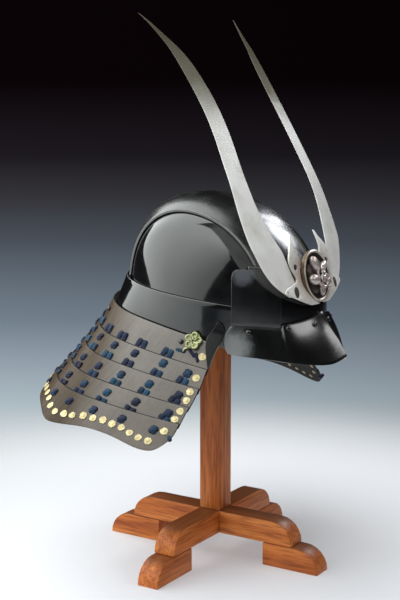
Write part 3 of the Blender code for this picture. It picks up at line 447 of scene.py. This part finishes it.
def gilt(name, colour, tarnish, rough, metal=0.6):
    """Gilt copper: colour is where the gold holds, tarnish where it has dulled."""
    made, tree, shader = finish(name, Metallic=metal)
    cloud = add(tree, "Group", GILT_CLOUD, node_tree=tarnish_cloud).outputs["Cloud"]
    tree.links.new(ramp(tree, cloud, (0.32, tarnish), (0.6, colour)), shader.inputs["Base Color"])
    worn = add(tree, "MapRange", {"Value": cloud, "To Min": rough + 0.2, "To Max": rough - 0.1})
    tree.links.new(worn.outputs["Result"], shader.inputs["Roughness"])
    bump = add(tree, "Bump", {"Height": cloud, "Strength": 0.4, "Distance": 0.0003})
    tree.links.new(bump.outputs["Normal"], shader.inputs["Normal"])
    return made


def tube(name, points, radius, taper):
    """Solid round strand along the points; its radius runs on to radius times taper."""
    path = bpy.data.curves.new(name, "CURVE")
    path.dimensions = "3D"
    path.bevel_depth = radius
    path.bevel_resolution = 3
    path.resolution_u = 6
    path.use_fill_caps = True
    line = path.splines.new("NURBS")
    line.points.add(len(points) - 1)
    for number, (point, at) in enumerate(zip(line.points, points)):
        point.co = (*at, 1.0)
        point.radius = 1.0 + (taper - 1.0) * number / (len(points) - 1)
    line.order_u = 4
    line.use_endpoint_u = True
    piece = bpy.data.objects.new(name, path)
    bpy.context.scene.collection.objects.link(piece)
    use(piece)
    bpy.ops.object.convert(target="MESH")
    return bpy.context.object


def joined(name, parts):
    """Several parts as one mesh whose object sits at the origin."""
    bpy.ops.object.select_all(action="DESELECT")
    for part in parts:
        part.select_set(True)
    bpy.context.view_layer.objects.active = parts[0]
    bpy.ops.object.join()
    piece = bpy.context.object
    piece.name = name
    bpy.ops.object.transform_apply(location=True, rotation=True, scale=True)
    return piece


def placed(pattern, where):
    """Copy of a pattern at its place, with a mesh of its own."""
    part = bpy.data.objects.new("part", pattern.data.copy())
    bpy.context.scene.collection.objects.link(part)
    part.matrix_world = where
    return part


ROSETTE_TURN = 1.685  # its place on the top lame
ROSETTE_LEVEL = 0.15
ROSETTE_LIFT = 0.6  # how far its own zero stands off the lame, mm
PETALS = 5
FIRST_PETAL = 0.5  # its bearing, radians
PETAL_WIRE = 0.0013
PETAL_RING = 0.0031  # radius of the ring, m
PETAL_OUT = 0.0061  # from the flower's middle to the ring's


def petal_line(way):
    """Line of a petal that points along X: a nearly closed ring that opens to the middle."""
    points = [Vector((0.0012, 0.0, 0.0024))]
    for share in np.linspace(0.0, 1.0, 10):
        angle = way * (math.pi + 0.3 + 5.3 * share)
        rise = 0.0026 + 0.0008 * math.sin(math.pi * share)
        points.append(
            Vector((PETAL_OUT + PETAL_RING * math.cos(angle), PETAL_RING * math.sin(angle), rise))
        )
    return points


rosette_gilt = gilt("rosette_gilt", (0.40, 0.42, 0.22), (0.14, 0.14, 0.06), 0.42)
for node, side in (("rosette_right", -1.0), ("rosette_left", 1.0)):
    piece = copy_of(node, "openwork_" + node)
    apply(piece, "SUBSURF", "fair", levels=1, render_levels=1)
    seat = on_guard(side * ROSETTE_TURN, ROSETTE_LEVEL, 0, ROSETTE_LIFT)
    parts = [piece]
    petal = tube("petal", petal_line(side), PETAL_WIRE, 0.85)
    for number in range(PETALS):
        bearing = FIRST_PETAL + math.tau * number / PETALS
        parts.append(placed(petal, seat @ Matrix.Rotation(bearing, 4, "Z")))
    bpy.data.objects.remove(petal)
    tail_line = [
        (0.002, -0.006, 0.002), (0.004 * side, -0.0105, 0.0016), (0.0065 * side, -0.0125, 0.0012),
        (0.0045 * side, -0.0150, 0.0010),
    ]
    tail = tube("tail", tail_line, 0.0017, 0.5)
    tail.matrix_world = seat
    parts.append(tail)
    piece = joined("openwork_" + node, parts)
    piece.data.materials.append(rosette_gilt)
    shade(piece, 60)

# ---------------------------------------------------------------- crest
# Two long flat horns that slip on the prongs of a pierced holder, all cut from silvered copper
# sheet. Tarnish has turned their tips olive, and the silver is worn off round the disc.


def silvered(name, colour, tarnish, rough, metal):
    """Silvered copper with clouds of tarnish."""
    made, tree, shader = finish(name, Metallic=metal)
    cloud = add(tree, "Group", SILVER_CLOUD, node_tree=tarnish_cloud).outputs["Cloud"]
    tree.links.new(ramp(tree, cloud, (0.3, tarnish), (0.55, colour)), shader.inputs["Base Color"])
    worn = add(tree, "MapRange", {"Value": cloud, "To Min": rough + 0.15, "To Max": rough - 0.08})
    tree.links.new(worn.outputs["Result"], shader.inputs["Roughness"])
    return made


def olive_above(material, low, high):
    """Darkens a silvered finish to matt olive between two heights, in metres, that the clouds of
    tarnish bring down by up to 0.05."""
    tree = material.node_tree
    shader = tree.nodes["Principled BSDF"]
    place = add(tree, "TexCoord").outputs["Object"]
    height = add(tree, "SeparateXYZ", {"Vector": place}).outputs["Z"]
    cloud = add(tree, "TexNoise", {"Vector": place, **SILVER_CLOUD}).outputs["Fac"]
    uneven = add(tree, "Math", {0: cloud, 1: 0.05, 2: height}, operation="MULTIPLY_ADD")
    share = add(tree, "MapRange", {"Value": uneven.outputs["Value"], "From Min": low, "From Max": high})
    share = share.outputs["Result"]
    olive = ramp(tree, share, (0.0, (1.0, 1.0, 1.0)), (0.5, (0.24, 0.23, 0.19)), (1.0, (0.11, 0.10, 0.075)))
    under = shader.inputs["Base Color"].links[0].from_socket
    darkened = {"Factor": 1.0, "A": under, "B": olive}
    darker_tone = add(tree, "Mix", darkened, data_type="RGBA", blend_type="MULTIPLY")
    tree.links.new(darker_tone.outputs[2], shader.inputs["Base Color"])
    matt = add(tree, "MapRange", {"Value": share, "From Max": 0.3, "To Min": 0.5, "To Max": 0.0})
    tree.links.new(matt.outputs["Result"], shader.inputs["Specular IOR Level"])


horn_silver = silvered("horn_silver", (0.72, 0.71, 0.69), (0.55, 0.54, 0.50), 0.5, 0.0)
olive_above(horn_silver, 0.52, 0.62)
lay_patch(horn_silver, (0.012, 0.128, 0.345), 0.045, (0.42, 0.33, 0.275))
for node in ("horn_right", "horn_left"):
    plate(node, "silvered_" + node, horn_silver, rim=0.0004)
for node in ("horn_holder_right", "horn_holder_left"):
    piece = copy_of(node, "pierced_" + node)
    apply(piece, "BEVEL", "rim", width=0.0003, segments=2, limit_method="ANGLE",
          angle_limit=math.radians(50))
    piece.data.materials.append(horn_silver)
    shade(piece, 30)

# Painted shade: a dark, rust-coloured stud in each large hole of the holder
# columns: x, y and height of the hole's middle, just behind the holder, half width, half height;
# mm, in the helmet's frame; lean, degrees
STUDS = [
    (45.0, -124.1, 44.5, 4.6, 5.6, 26.0),
    (36.0, -113.1, 69.0, 3.9, 3.2, 22.0),
]
STUD_FORWARD = 0.35  # from there to its foot, which lies just inside the sheet, mm


def stud_pattern():
    """Low domed head, 2 mm across before it is stretched to its hole."""
    bpy.ops.object.select_all(action="DESELECT")
    bpy.ops.mesh.primitive_circle_add(vertices=28, radius=0.001, fill_type="NGON")
    bpy.ops.object.mode_set(mode="EDIT")
    bpy.ops.mesh.select_all(action="SELECT")
    bpy.ops.mesh.extrude_region_move(TRANSFORM_OT_translate={"value": (0, 0, 0.0006)})
    bpy.ops.mesh.inset(thickness=0.00025, depth=0.0003)
    bpy.ops.mesh.inset(thickness=0.0003, depth=0.0002)
    bpy.ops.mesh.select_all(action="SELECT")
    bpy.ops.mesh.normals_make_consistent(inside=False)
    bpy.ops.object.mode_set(mode="OBJECT")
    return bpy.context.object


stud = stud_pattern()
parts = []
for x, y, height, wide, tall, lean in STUDS:
    for side in (-1.0, 1.0):
        at = HELMET_SEAT @ Matrix.Translation(Vector((side * x, y - STUD_FORWARD, height)) / 1000.0)
        upright = Matrix.Rotation(math.radians(90.0 - lean), 4, "X")
        parts.append(placed(stud, at @ upright @ Matrix.Diagonal((wide, tall, 1.0, 1.0))))
bpy.data.objects.remove(stud)
piece = joined("holder_studs", parts)
piece.data.materials.append(silvered("stud_painted_shade", (0.05, 0.03, 0.018), (0.012, 0.008, 0.006), 0.6, 0.2))
shade(piece, 50)
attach(piece, "root")

# ---------------------------------------------------------------- disc ornament
# Round ornament between the horns, on a block that the brow plate carries: a turned silver rim,
# brown on its side, round a sunk ground with a cast scroll. Soldered on that are raised leaves
# and coils of silver wire.
rim_silver = silvered("disc_rim_silver", (0.24, 0.17, 0.11), (0.060, 0.034, 0.018), 0.36, 0.6)
rim_edge = silvered("disc_rim_edge", (0.62, 0.58, 0.52), (0.30, 0.24, 0.18), 0.36, 0.5)
ground_brown = silvered("disc_ground_brown", (0.03, 0.018, 0.012), (0.010, 0.007, 0.006), 0.5, 0.4)
scroll_silver = silvered("disc_scroll_silver", (0.72, 0.64, 0.62), (0.22, 0.15, 0.12), 0.3, 0.6)
scroll_low = silvered("disc_scroll_low", (0.050, 0.034, 0.028), (0.018, 0.012, 0.010), 0.4, 0.4)
bracket_iron = silvered("bracket_iron", (0.05, 0.045, 0.04), (0.02, 0.018, 0.015), 0.45, 0.4)
DISC_CENTRE = (0.0, -0.1254, 0.0579)  # in the helmet, m
DISC_LEAN = 20.2  # degrees from upright
DISC_SEAT = (
    HELMET_SEAT @ Matrix.Translation(DISC_CENTRE)
    @ Matrix.Rotation(math.radians(90.0 - DISC_LEAN), 4, "X")
)
DISC_FRONT = DISC_SEAT.to_3x3() @ Vector((0.0, 0.0, 1.0))
for node, metal in (
    ("disc_rim", rim_silver), ("disc_ground", ground_brown), ("disc_scroll", scroll_low),
    ("disc_bracket", bracket_iron),
):
    piece = copy_of(node, "crest_" + node)
    if node == "disc_scroll":
        apply(piece, "SUBSURF", "fair", levels=1, render_levels=1)
    piece.data.materials.append(metal)
    if node == "disc_rim":
        piece.data.materials.append(rim_edge)
        for face in piece.data.polygons:
            face.material_index = int(face.normal.dot(DISC_FRONT) > 0.6)
    shade(piece, 40)

# Leaves of the relief, seen from in front
# columns: x, y, bearing in degrees, half length, half width; m
LEAVES = [
    (-0.0060, 0.0125, -62.0, 0.0085, 0.0078),
    (-0.0120, -0.0035, -12.0, 0.0080, 0.0080),
    (0.0115, 0.0085, 215.0, 0.0070, 0.0055),
    (0.0010, -0.0150, 75.0, 0.0065, 0.0062),
]

# Coils of wire between the leaves
# columns: x, y, radius of the coil, radius of the wire, bearing where it starts; m, radians
COILS = [
    (0.0015, -0.0060, 0.0095, 0.0018, 3.4),
    (0.0040, 0.0055, 0.0062, 0.0013, 0.6),
    (-0.0035, 0.0020, 0.0056, 0.0013, 2.6),
    (0.0065, -0.0030, 0.0056, 0.0013, 4.7),
    (-0.0010, -0.0055, 0.0052, 0.0012, 5.6),
    (0.0110, -0.0090, 0.0060, 0.0016, 4.2),
]
COIL_TURN = 4.6  # how far a coil winds in, radians
LEAF_HEIGHT = 0.0018  # of a leaf's middle, in front of DISC_CENTRE, m
COIL_HEIGHT = 0.0052  # of a coil's outer end, in front of it too
COIL_CLIMB = 0.0016  # from the outer end to the inner one


def leaf(x, y, bearing, long, wide):
    """Raised drop-shaped leaf: blunt at one end, drawn out and narrow towards its bearing."""
    bpy.ops.object.select_all(action="DESELECT")
    bpy.ops.mesh.primitive_uv_sphere_add(segments=24, ring_count=14, radius=1.0)
    piece = bpy.context.object
    for vertex in piece.data.vertices:
        vertex.select = vertex.co.z > 0.2
    bpy.ops.object.mode_set(mode="EDIT")
    bpy.ops.transform.resize(value=(0.8, 0.75, 1.2), center_override=(0.0, 0.0, 0.2))
    bpy.ops.mesh.select_all(action="SELECT")
    bpy.ops.transform.resize(value=(wide * 0.8, wide, long), center_override=(0.0, 0.0, 0.0))
    bpy.ops.object.mode_set(mode="OBJECT")
    bpy.ops.object.shade_smooth()
    lie = Matrix.Rotation(math.radians(bearing), 4, "Z") @ Matrix.Rotation(math.radians(90.0), 4, "Y")
    piece.matrix_world = Matrix.Translation((x, y, LEAF_HEIGHT)) @ lie
    return piece


def coil(x, y, reach, wire, start):
    """Wire that winds in and rises over the leaves."""
    points = []
    for share in np.linspace(0.0, 1.0, 12):
        angle = start + COIL_TURN * share
        out = reach * (1.0 - 0.6 * share)
        rise = COIL_HEIGHT + COIL_CLIMB * share
        points.append((x + out * math.cos(angle), y + out * math.sin(angle), rise))
    return tube("coil", points, wire, 0.7)


parts = [leaf(*row) for row in LEAVES] + [coil(*row) for row in COILS]
for part in parts:
    part.matrix_world = DISC_SEAT @ part.matrix_world
piece = joined("crest_scroll_strands", parts)
piece.data.materials.append(scroll_silver)
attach(piece, "root")

# ---------------------------------------------------------------- lacing
# Flat silk braid in navy. It leaves each lame as two short strands side by side, which pass
# behind the lame below, and it holds that lame with a cross knot.


def silk():
    """Navy braid, unevenly dyed, with a fine slanting weave."""
    made, tree, shader = finish(
        "navy_silk", Roughness=0.6, Sheen_Weight=0.08, Sheen_Roughness=0.4, Specular_IOR_Level=0.25
    )
    place = add(tree, "TexCoord").outputs["Object"]
    cloud = add(tree, "TexNoise", {"Vector": place, "Scale": 45.0, "Detail": 2.0})
    tone = ramp(tree, cloud.outputs["Fac"], (0.36, (0.005, 0.006, 0.026)), (0.5, (0.005, 0.015, 0.045)),
                (0.64, (0.006, 0.045, 0.090)))
    tree.links.new(tone, shader.inputs["Base Color"])
    uv = add(tree, "UVMap", uv_map="UVMap").outputs["UV"]
    slanting = {"Vector": uv, "Scale": 4.5, "Distortion": 0.4}
    twill = add(tree, "TexWave", slanting, bands_direction="DIAGONAL")
    bump = add(tree, "Bump", {"Height": twill.outputs["Fac"], "Strength": 0.6, "Distance": 0.0004})
    tree.links.new(bump.outputs["Normal"], shader.inputs["Normal"])
    return made


navy_silk = silk()
STRAND_SUNK = 0.0003  # its edges are pressed this far into the lame, m


def strand(name, length, width, rise, open_end):
    """Short domed stretch of flat braid along Y, from 0 to its length; an open end isn't rounded."""
    bpy.ops.object.select_all(action="DESELECT")
    bpy.ops.mesh.primitive_grid_add(x_subdivisions=10, y_subdivisions=16, size=1.0)
    piece = bpy.context.object
    piece.name = name
    for vertex in piece.data.vertices:
        across, up = 2.0 * vertex.co.x, 2.0 * vertex.co.y  # both from -1 to 1
        end = 0.0 if up < 0.0 and open_end else abs(up)
        plait = 0.1 * abs(math.sin(6.5 * up + 2.4 * abs(across)))  # slanting ribs of the braid
        narrowed = (1.0 - end ** 4) ** 0.35 if end < 1.0 else 0.2
        thinned = 1.0 - (0.35 * max(-up, 0.0) if open_end else 0.0)
        dome = max(1.0 - abs(across) ** 2.6, 0.0) ** 0.5 * (0.93 + plait)
        vertex.co.x = across * width / 2.0 * narrowed
        vertex.co.y = (up + 1.0) * length / 2.0
        vertex.co.z = rise * thinned * (1.0 - 0.92 * end ** 4) * dome - STRAND_SUNK
    bpy.ops.object.mode_set(mode="EDIT")
    bpy.ops.mesh.select_all(action="DESELECT")
    bpy.ops.mesh.select_non_manifold()
    bpy.ops.mesh.edge_face_add()
    bpy.ops.mesh.select_all(action="SELECT")
    bpy.ops.mesh.normals_make_consistent(inside=False)
    bpy.ops.object.mode_set(mode="OBJECT")
    bpy.ops.object.shade_smooth()
    return piece


BACK_COLUMNS = [-0.57, -0.38, -0.19, 0.0, 0.19, 0.38, 0.57]  # quarter turns from the nape
# Turns of each column on lames 1 to 5, 0 where it has none, and how far it drops below its row
SIDE_COLUMNS = [
    ((0.76, 0.75, 0.75, 0.765, 0.78), 0.0),
    ((0.94, 0.935, 0.936, 0.94, 0.942), 0.0),
    ((1.154, 1.157, 1.18, 1.183, 1.195), 0.0),
    ((1.48, 1.515, 1.53, 1.54, 1.546), 0.0),
    ((0.0, 1.816, 1.883, 1.925, 1.922), 0.12),
]
KNOT_LEVELS = (0.0, 1.33, 2.46, 3.49, 4.54)  # of each lame's row; the first lame has no knots
KNOT_LENGTH = 0.0130  # m
KNOT_SLANT = 40.0  # of both strands from upright, degrees
KNOT_CROSSING = 0.0007  # how much higher the upper strand lies, m
LOOP_LENGTHS = (0.0105, 0.0088, 0.0078, 0.0055)  # in all, from lame 1 to lame 4, m
LOOP_BEHIND = 0.001  # how much of that is behind the next lame
LOOP_APART = 0.0039  # from the loop's middle to each strand
LOOP_SPREAD = 6.0  # of each strand from upright, degrees
LACE_END = [  # turn, level, slant in degrees: the lace's end, laid under the rosette
    (1.60, 0.63, 82.0),
    (1.73, 0.60, 118.0),
    (1.80, 0.70, 140.0),
]
CORNER_TURN = 2.13  # where the lace is knotted off on the last lame
CORNER_LEVEL = 4.95
knot_strand = strand("knot_strand", KNOT_LENGTH, 0.0076, 0.0026, False)
loop_strand = strand("loop_strand", 1.0, 0.0074, 0.0025, True)
to_middle = Matrix.Translation((0, -KNOT_LENGTH / 2.0, 0))


def knot(turn, level, lame):
    """Two strands crossed, a little smaller at the back."""
    seat = on_guard(turn, level, lame) @ Matrix.Scale(0.72 + 0.08 * min(abs(turn), 1.8), 4)
    parts = []
    for tilt, lift in ((KNOT_SLANT, 0.0), (-KNOT_SLANT, KNOT_CROSSING)):
        spin = Matrix.Translation((0, 0, lift)) @ Matrix.Rotation(math.radians(tilt), 4, "Z")
        parts.append(placed(knot_strand, seat @ spin @ to_middle))
    return parts


def loop(turn, lame):
    """Two strands whose lower ends go behind the next lame."""
    seat = on_guard(turn, lame + 1.0, lame)
    parts = []
    for side in (-1, 1):
        foot = Matrix.Translation((LOOP_APART * side, -LOOP_BEHIND, 0))
        lean = Matrix.Rotation(math.radians(LOOP_SPREAD * side), 4, "Z")
        size = Matrix.Diagonal((1.0, LOOP_LENGTHS[lame], 1.0, 1.0))
        parts.append(placed(loop_strand, seat @ foot @ lean @ size))
    return parts


def lace_end(side):
    """Stretches of the lace's end, one after the other."""
    parts = []
    for turn, level, slant in LACE_END:
        lay = Matrix.Rotation(math.radians(slant * side), 4, "Z") @ Matrix.Diagonal((0.55, 0.95, 0.6, 1.0))
        parts.append(placed(knot_strand, on_guard(side * turn, level, 0) @ lay @ to_middle))
    return parts


def corner_knot(side):
    """The lace's knotted end at the front corner of the last lame."""
    line = [(0, 0, -0.002), (0.0003, 0, 0.0), (0, 0.0003, 0.002), (0, 0, 0.004)]
    bead = tube("bead", line, 0.0026, 0.8)
    bead.matrix_world = on_guard(side * CORNER_TURN, CORNER_LEVEL, 4)
    return bead


for lame in range(5):
    parts = []
    turns = [(turn, 0.0) for turn in BACK_COLUMNS]
    for column, drop in SIDE_COLUMNS:
        if column[lame]:
            turns += [(column[lame], drop), (-column[lame], drop)]
    for turn, drop in turns:
        if lame > 0:
            parts += knot(turn, KNOT_LEVELS[lame] + drop, lame)
        if lame < 4:
            parts += loop(turn, lame)
    for side in (-1.0, 1.0):
        if lame == 0:
            parts += lace_end(side)
        if lame == 4:
            parts.append(corner_knot(side))
    piece = joined("lacing_lame_%d" % (lame + 1), parts)
    piece.data.materials.append(navy_silk)
    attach(piece, "root")
for pattern in (knot_strand, loop_strand):
    bpy.data.objects.remove(pattern)

# ---------------------------------------------------------------- gilt discs
# Thin washers of pale gilt copper along the hem and the front edges of the neck guard. Each is
# cut by hand with a ragged edge, and a pin through it is clenched over a smaller one behind.
disc_gilt = gilt("disc_gilt", (0.62, 0.54, 0.31), (0.36, 0.27, 0.11), 0.5, 0.35)

# Lower edge of the last lame; columns: quarter turns from the nape, level
HEM = [
    (0.0, 5.3), (0.55, 5.32), (0.7, 5.38), (0.78, 5.55), (0.86, 5.85), (0.9, 5.9), (0.94, 5.87),
    (0.99, 5.77), (1.08, 5.64), (1.32, 5.48), (1.57, 5.57), (1.76, 5.75), (1.89, 5.91), (2.02, 5.92),
]
HEM_TURNS, HEM_LEVELS = zip(*HEM)
PIN_ABOVE_HEM = 0.58  # levels
PIN_PITCH = 0.0118  # from pin to pin along the hem, m
LAST_PIN_TURN = 2.05

# Pins up the front edge; columns: quarter turns from the nape, level, lame
FRONT_PINS = [
    (1.851, 0.61, 0), (1.926, 1.56, 1), (1.969, 2.25, 2), (1.995, 2.72, 2), (2.021, 3.35, 3),
    (2.03, 3.84, 3), (2.03, 4.64, 4),
]
WASHER_SIDES = 24
WASHER_RADIUS = 0.0041  # m
WASHER_SHEET = 0.0007


def washer(seed):
    """Flat little washer with a ragged, notched edge and the pin head in its middle."""
    bpy.ops.object.select_all(action="DESELECT")
    bpy.ops.mesh.primitive_circle_add(vertices=WASHER_SIDES, radius=WASHER_RADIUS, fill_type="NGON")
    piece = bpy.context.object
    bpy.ops.object.mode_set(mode="EDIT")
    bpy.ops.mesh.select_all(action="SELECT")
    bpy.ops.mesh.extrude_region_move(TRANSFORM_OT_translate={"value": (0, 0, WASHER_SHEET)})
    bpy.ops.mesh.inset(thickness=0.0009, depth=0.0002)
    bpy.ops.mesh.inset(thickness=0.0009, depth=-0.0002)
    bpy.ops.mesh.inset(thickness=0.0006, depth=0.0003)
    bpy.ops.mesh.select_all(action="SELECT")
    bpy.ops.mesh.normals_make_consistent(inside=False)
    bpy.ops.object.mode_set(mode="OBJECT")
    rng = random.Random(seed)
    reach = [rng.uniform(0.9, 1.05) for _ in range(WASHER_SIDES)]
    reach[rng.randrange(WASHER_SIDES)] = 0.83
    for vertex in piece.data.vertices:
        if vertex.co.xy.length > 0.95 * WASHER_RADIUS:
            vertex.co.xy *= reach[round(math.atan2(vertex.co.y, vertex.co.x) / math.tau * WASHER_SIDES)]
    shade(piece, 35)
    return piece


patterns = [washer(seed) for seed in range(5)]
rng = random.Random(4)
parts = []
hem_pins = []
turn = 0.0
while turn < LAST_PIN_TURN:
    level = float(np.interp(turn, HEM_TURNS, HEM_LEVELS)) - PIN_ABOVE_HEM
    hem_pins.append((turn, level, 4))
    here = guard_point(turn, level, 4)
    turn += PIN_PITCH * 0.01 / (guard_point(turn + 0.01, level, 4) - here).length
for turn, level, lame in hem_pins + FRONT_PINS:
    for side in (-1.0, 1.0):
        if turn == 0.0 and side > 0:
            continue
        seat = on_guard(side * turn, level + rng.uniform(-0.03, 0.03), lame, -0.1)
        spin = Matrix.Rotation(rng.uniform(0.0, 6.28), 4, "Z") @ Matrix.Scale(rng.uniform(0.92, 1.08), 4)
        parts.append(placed(rng.choice(patterns), seat @ spin))
        if turn > 1.5:  # farther back the inner washers can't be seen
            under = on_guard(side * turn, level, lame, -LAME_SHEET) @ Matrix.Rotation(math.pi, 4, "Y")
            parts.append(placed(rng.choice(patterns), under @ Matrix.Scale(0.6, 4)))
piece = joined("gilt_washers", parts)
piece.data.materials.append(disc_gilt)
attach(piece, "root")
for pattern in patterns:
    bpy.data.objects.remove(pattern)

# ---------------------------------------------------------------- floor, light and camera
# Pale floor, one large soft light over the helmet's right side that shines forwards across it, a
# small lamp on its left and one in front, and the camera at the viewing angle. Floor and backdrop
# aren't part of the object.
bpy.ops.mesh.primitive_plane_add(size=1.7)
floor = bpy.context.object
floor.name = "studio_floor"
pale, tree, shader = finish("pale_floor", Roughness=0.6, Specular_IOR_Level=0.2)
shader.inputs["Base Color"].default_value = (0.57, 0.57, 0.60, 1.0)
shader.inputs["Emission Color"].default_value = (0.95, 0.96, 1.0, 1.0)
shader.inputs["Emission Strength"].default_value = 0.24
place = add(tree, "TexCoord").outputs["Object"]
reach = add(tree, "VectorMath", {0: place}, operation="LENGTH").outputs["Value"]
# Its rim fades out into the backdrop
fade = add(
    tree, "MapRange", {"Value": reach, "From Min": 0.35, "From Max": 0.8, "To Min": 1.0, "To Max": 0.0},
    interpolation_type="SMOOTHSTEP",
)
tree.links.new(fade.outputs["Result"], shader.inputs["Alpha"])
floor.data.materials.append(pale)

BOWL_MIDDLE = Vector((0.0, 0.0, 0.38))  # the lamps' places are measured from here, m


def soft_light(name, place, right, up, size, power, colour, sheen_only=False):
    """Rectangular lamp: its place seen from the bowl, and the directions of its width and height."""
    lamp = bpy.data.lights.new(name, "AREA")
    lamp.shape = "RECTANGLE"
    lamp.size, lamp.size_y = size
    lamp.energy = power
    lamp.color = colour
    holder = bpy.data.objects.new(name, lamp)
    bpy.context.scene.collection.objects.link(holder)
    x, y = Vector(right).normalized(), Vector(up)
    z = x.cross(y).normalized()
    if z.dot(Vector(place)) < 0.0:
        z = -z
    facing = Matrix((x, z.cross(x), z)).transposed().to_4x4()
    holder.matrix_world = Matrix.Translation(Vector(place) + BOWL_MIDDLE) @ facing
    holder.visible_camera = False
    holder.visible_diffuse = not sheen_only
    return lamp


def facing_light(name, bearing, height, distance, size, power, colour, sheen_only):
    """Small lamp that shows in the polish; bearing from the back towards the helmet's left, degrees."""
    a, e = math.radians(bearing), math.radians(height)
    place = Vector((math.sin(a) * math.cos(e), math.cos(a) * math.cos(e), math.sin(e))) * distance
    right = (math.cos(a), -math.sin(a), 0.0)
    soft_light(name, place, right, (0.0, 0.0, 1.0), size, power, colour, sheen_only)


big = soft_light(
    "big_softbox", (-0.305, 0.01, 0.92), (0.79, 0.42, 0.445), (-0.127, -0.6, 0.79), (2.22, 2.25), 46.0,
    (0.955, 1.0, 0.985),
)
# The cloth is lit from its far end, so it dims towards the front of the helmet
big.use_nodes = True
tree = big.node_tree
across = add(tree, "SeparateXYZ", {"Vector": add(tree, "NewGeometry").outputs["Parametric"]}).outputs["X"]
falling = add(
    tree, "MapRange", {"Value": across, "From Max": 0.45, "To Min": 0.4, "To Max": 1.25},
    interpolation_type="SMOOTHSTEP",
)
tree.links.new(falling.outputs["Result"], tree.nodes["Emission"].inputs["Strength"])
facing_light("far_lamp", 102, 32, 1.6, (0.68, 0.42), 17.0, (0.92, 0.95, 1.0), True)
facing_light("front_lamp", 172, 31, 1.6, (1.0, 0.42), 9.0, (1.0, 1.0, 1.0), False)

# Backdrop: near black overhead, blue-grey behind the helmet and white at the floor's edge. It is
# dimmer behind the viewer, and a little brighter on the side of the nape than on that of the brow
world = bpy.data.worlds.new("studio")
bpy.context.scene.world = world
world.use_nodes = True
tree = world.node_tree
sight = add(tree, "TexCoord").outputs["Generated"]
height = add(tree, "SeparateXYZ", {"Vector": sight}).outputs["Z"]
share = add(tree, "MapRange", {"Value": height, "From Min": -0.35, "From Max": 0.05}).outputs["Result"]
sky = ramp(
    tree, share,
    (0.11, (0.78, 0.81, 0.83)), (0.19, (0.55, 0.59, 0.60)), (0.28, (0.36, 0.43, 0.47)),
    (0.35, (0.26, 0.31, 0.36)), (0.43, (0.15, 0.19, 0.23)), (0.58, (0.060, 0.070, 0.087)),
    (0.66, (0.032, 0.031, 0.037)), (0.74, (0.011, 0.009, 0.012)), (0.88, (0.0025, 0.001, 0.0015)),
)
ahead = add(tree, "VectorMath", {0: sight, 1: (0.845, 0.535, 0.0)}, operation="DOT_PRODUCT")
ahead = ahead.outputs["Value"]
front = add(tree, "MapRange", {"Value": ahead, "From Min": -0.1, "From Max": 0.75, "To Min": 0.3})
low = add(tree, "MapRange", {"Value": height, "From Min": -0.1, "From Max": -0.35})
depth = add(tree, "Math", {0: front.outputs["Result"], 1: low.outputs["Result"]}, operation="MAXIMUM")
across = add(tree, "VectorMath", {0: sight, 1: (0.535, -0.845, 0.0)}, operation="DOT_PRODUCT")
across = across.outputs["Value"]
sides = {"Value": across, "From Min": -0.15, "From Max": 0.15, "To Min": 1.16, "To Max": 0.84}
side = add(tree, "MapRange", sides)
glow = add(tree, "Math", {0: depth.outputs["Value"], 1: side.outputs["Result"]}, operation="MULTIPLY")
tree.links.new(glow.outputs["Value"], tree.nodes["Background"].inputs["Strength"])
tree.links.new(sky, tree.nodes["Background"].inputs["Color"])

CAMERA_PLACE = (-1.2681, -0.7798, 0.5491)
CAMERA_BEARING = 57.665  # where it looks, from the helmet's back towards its left, degrees
CAMERA_DIP = 9.423  # how far it looks down, degrees
eye = bpy.data.cameras.new("camera")
eye.lens = 78.3
camera = bpy.data.objects.new("camera", eye)
bpy.context.scene.collection.objects.link(camera)
camera.location = CAMERA_PLACE
camera.rotation_euler = (math.radians(90.0 - CAMERA_DIP), 0.0, math.radians(-CAMERA_BEARING))
bpy.context.scene.camera = camera
bpy.context.scene.view_settings.view_transform = "Standard"
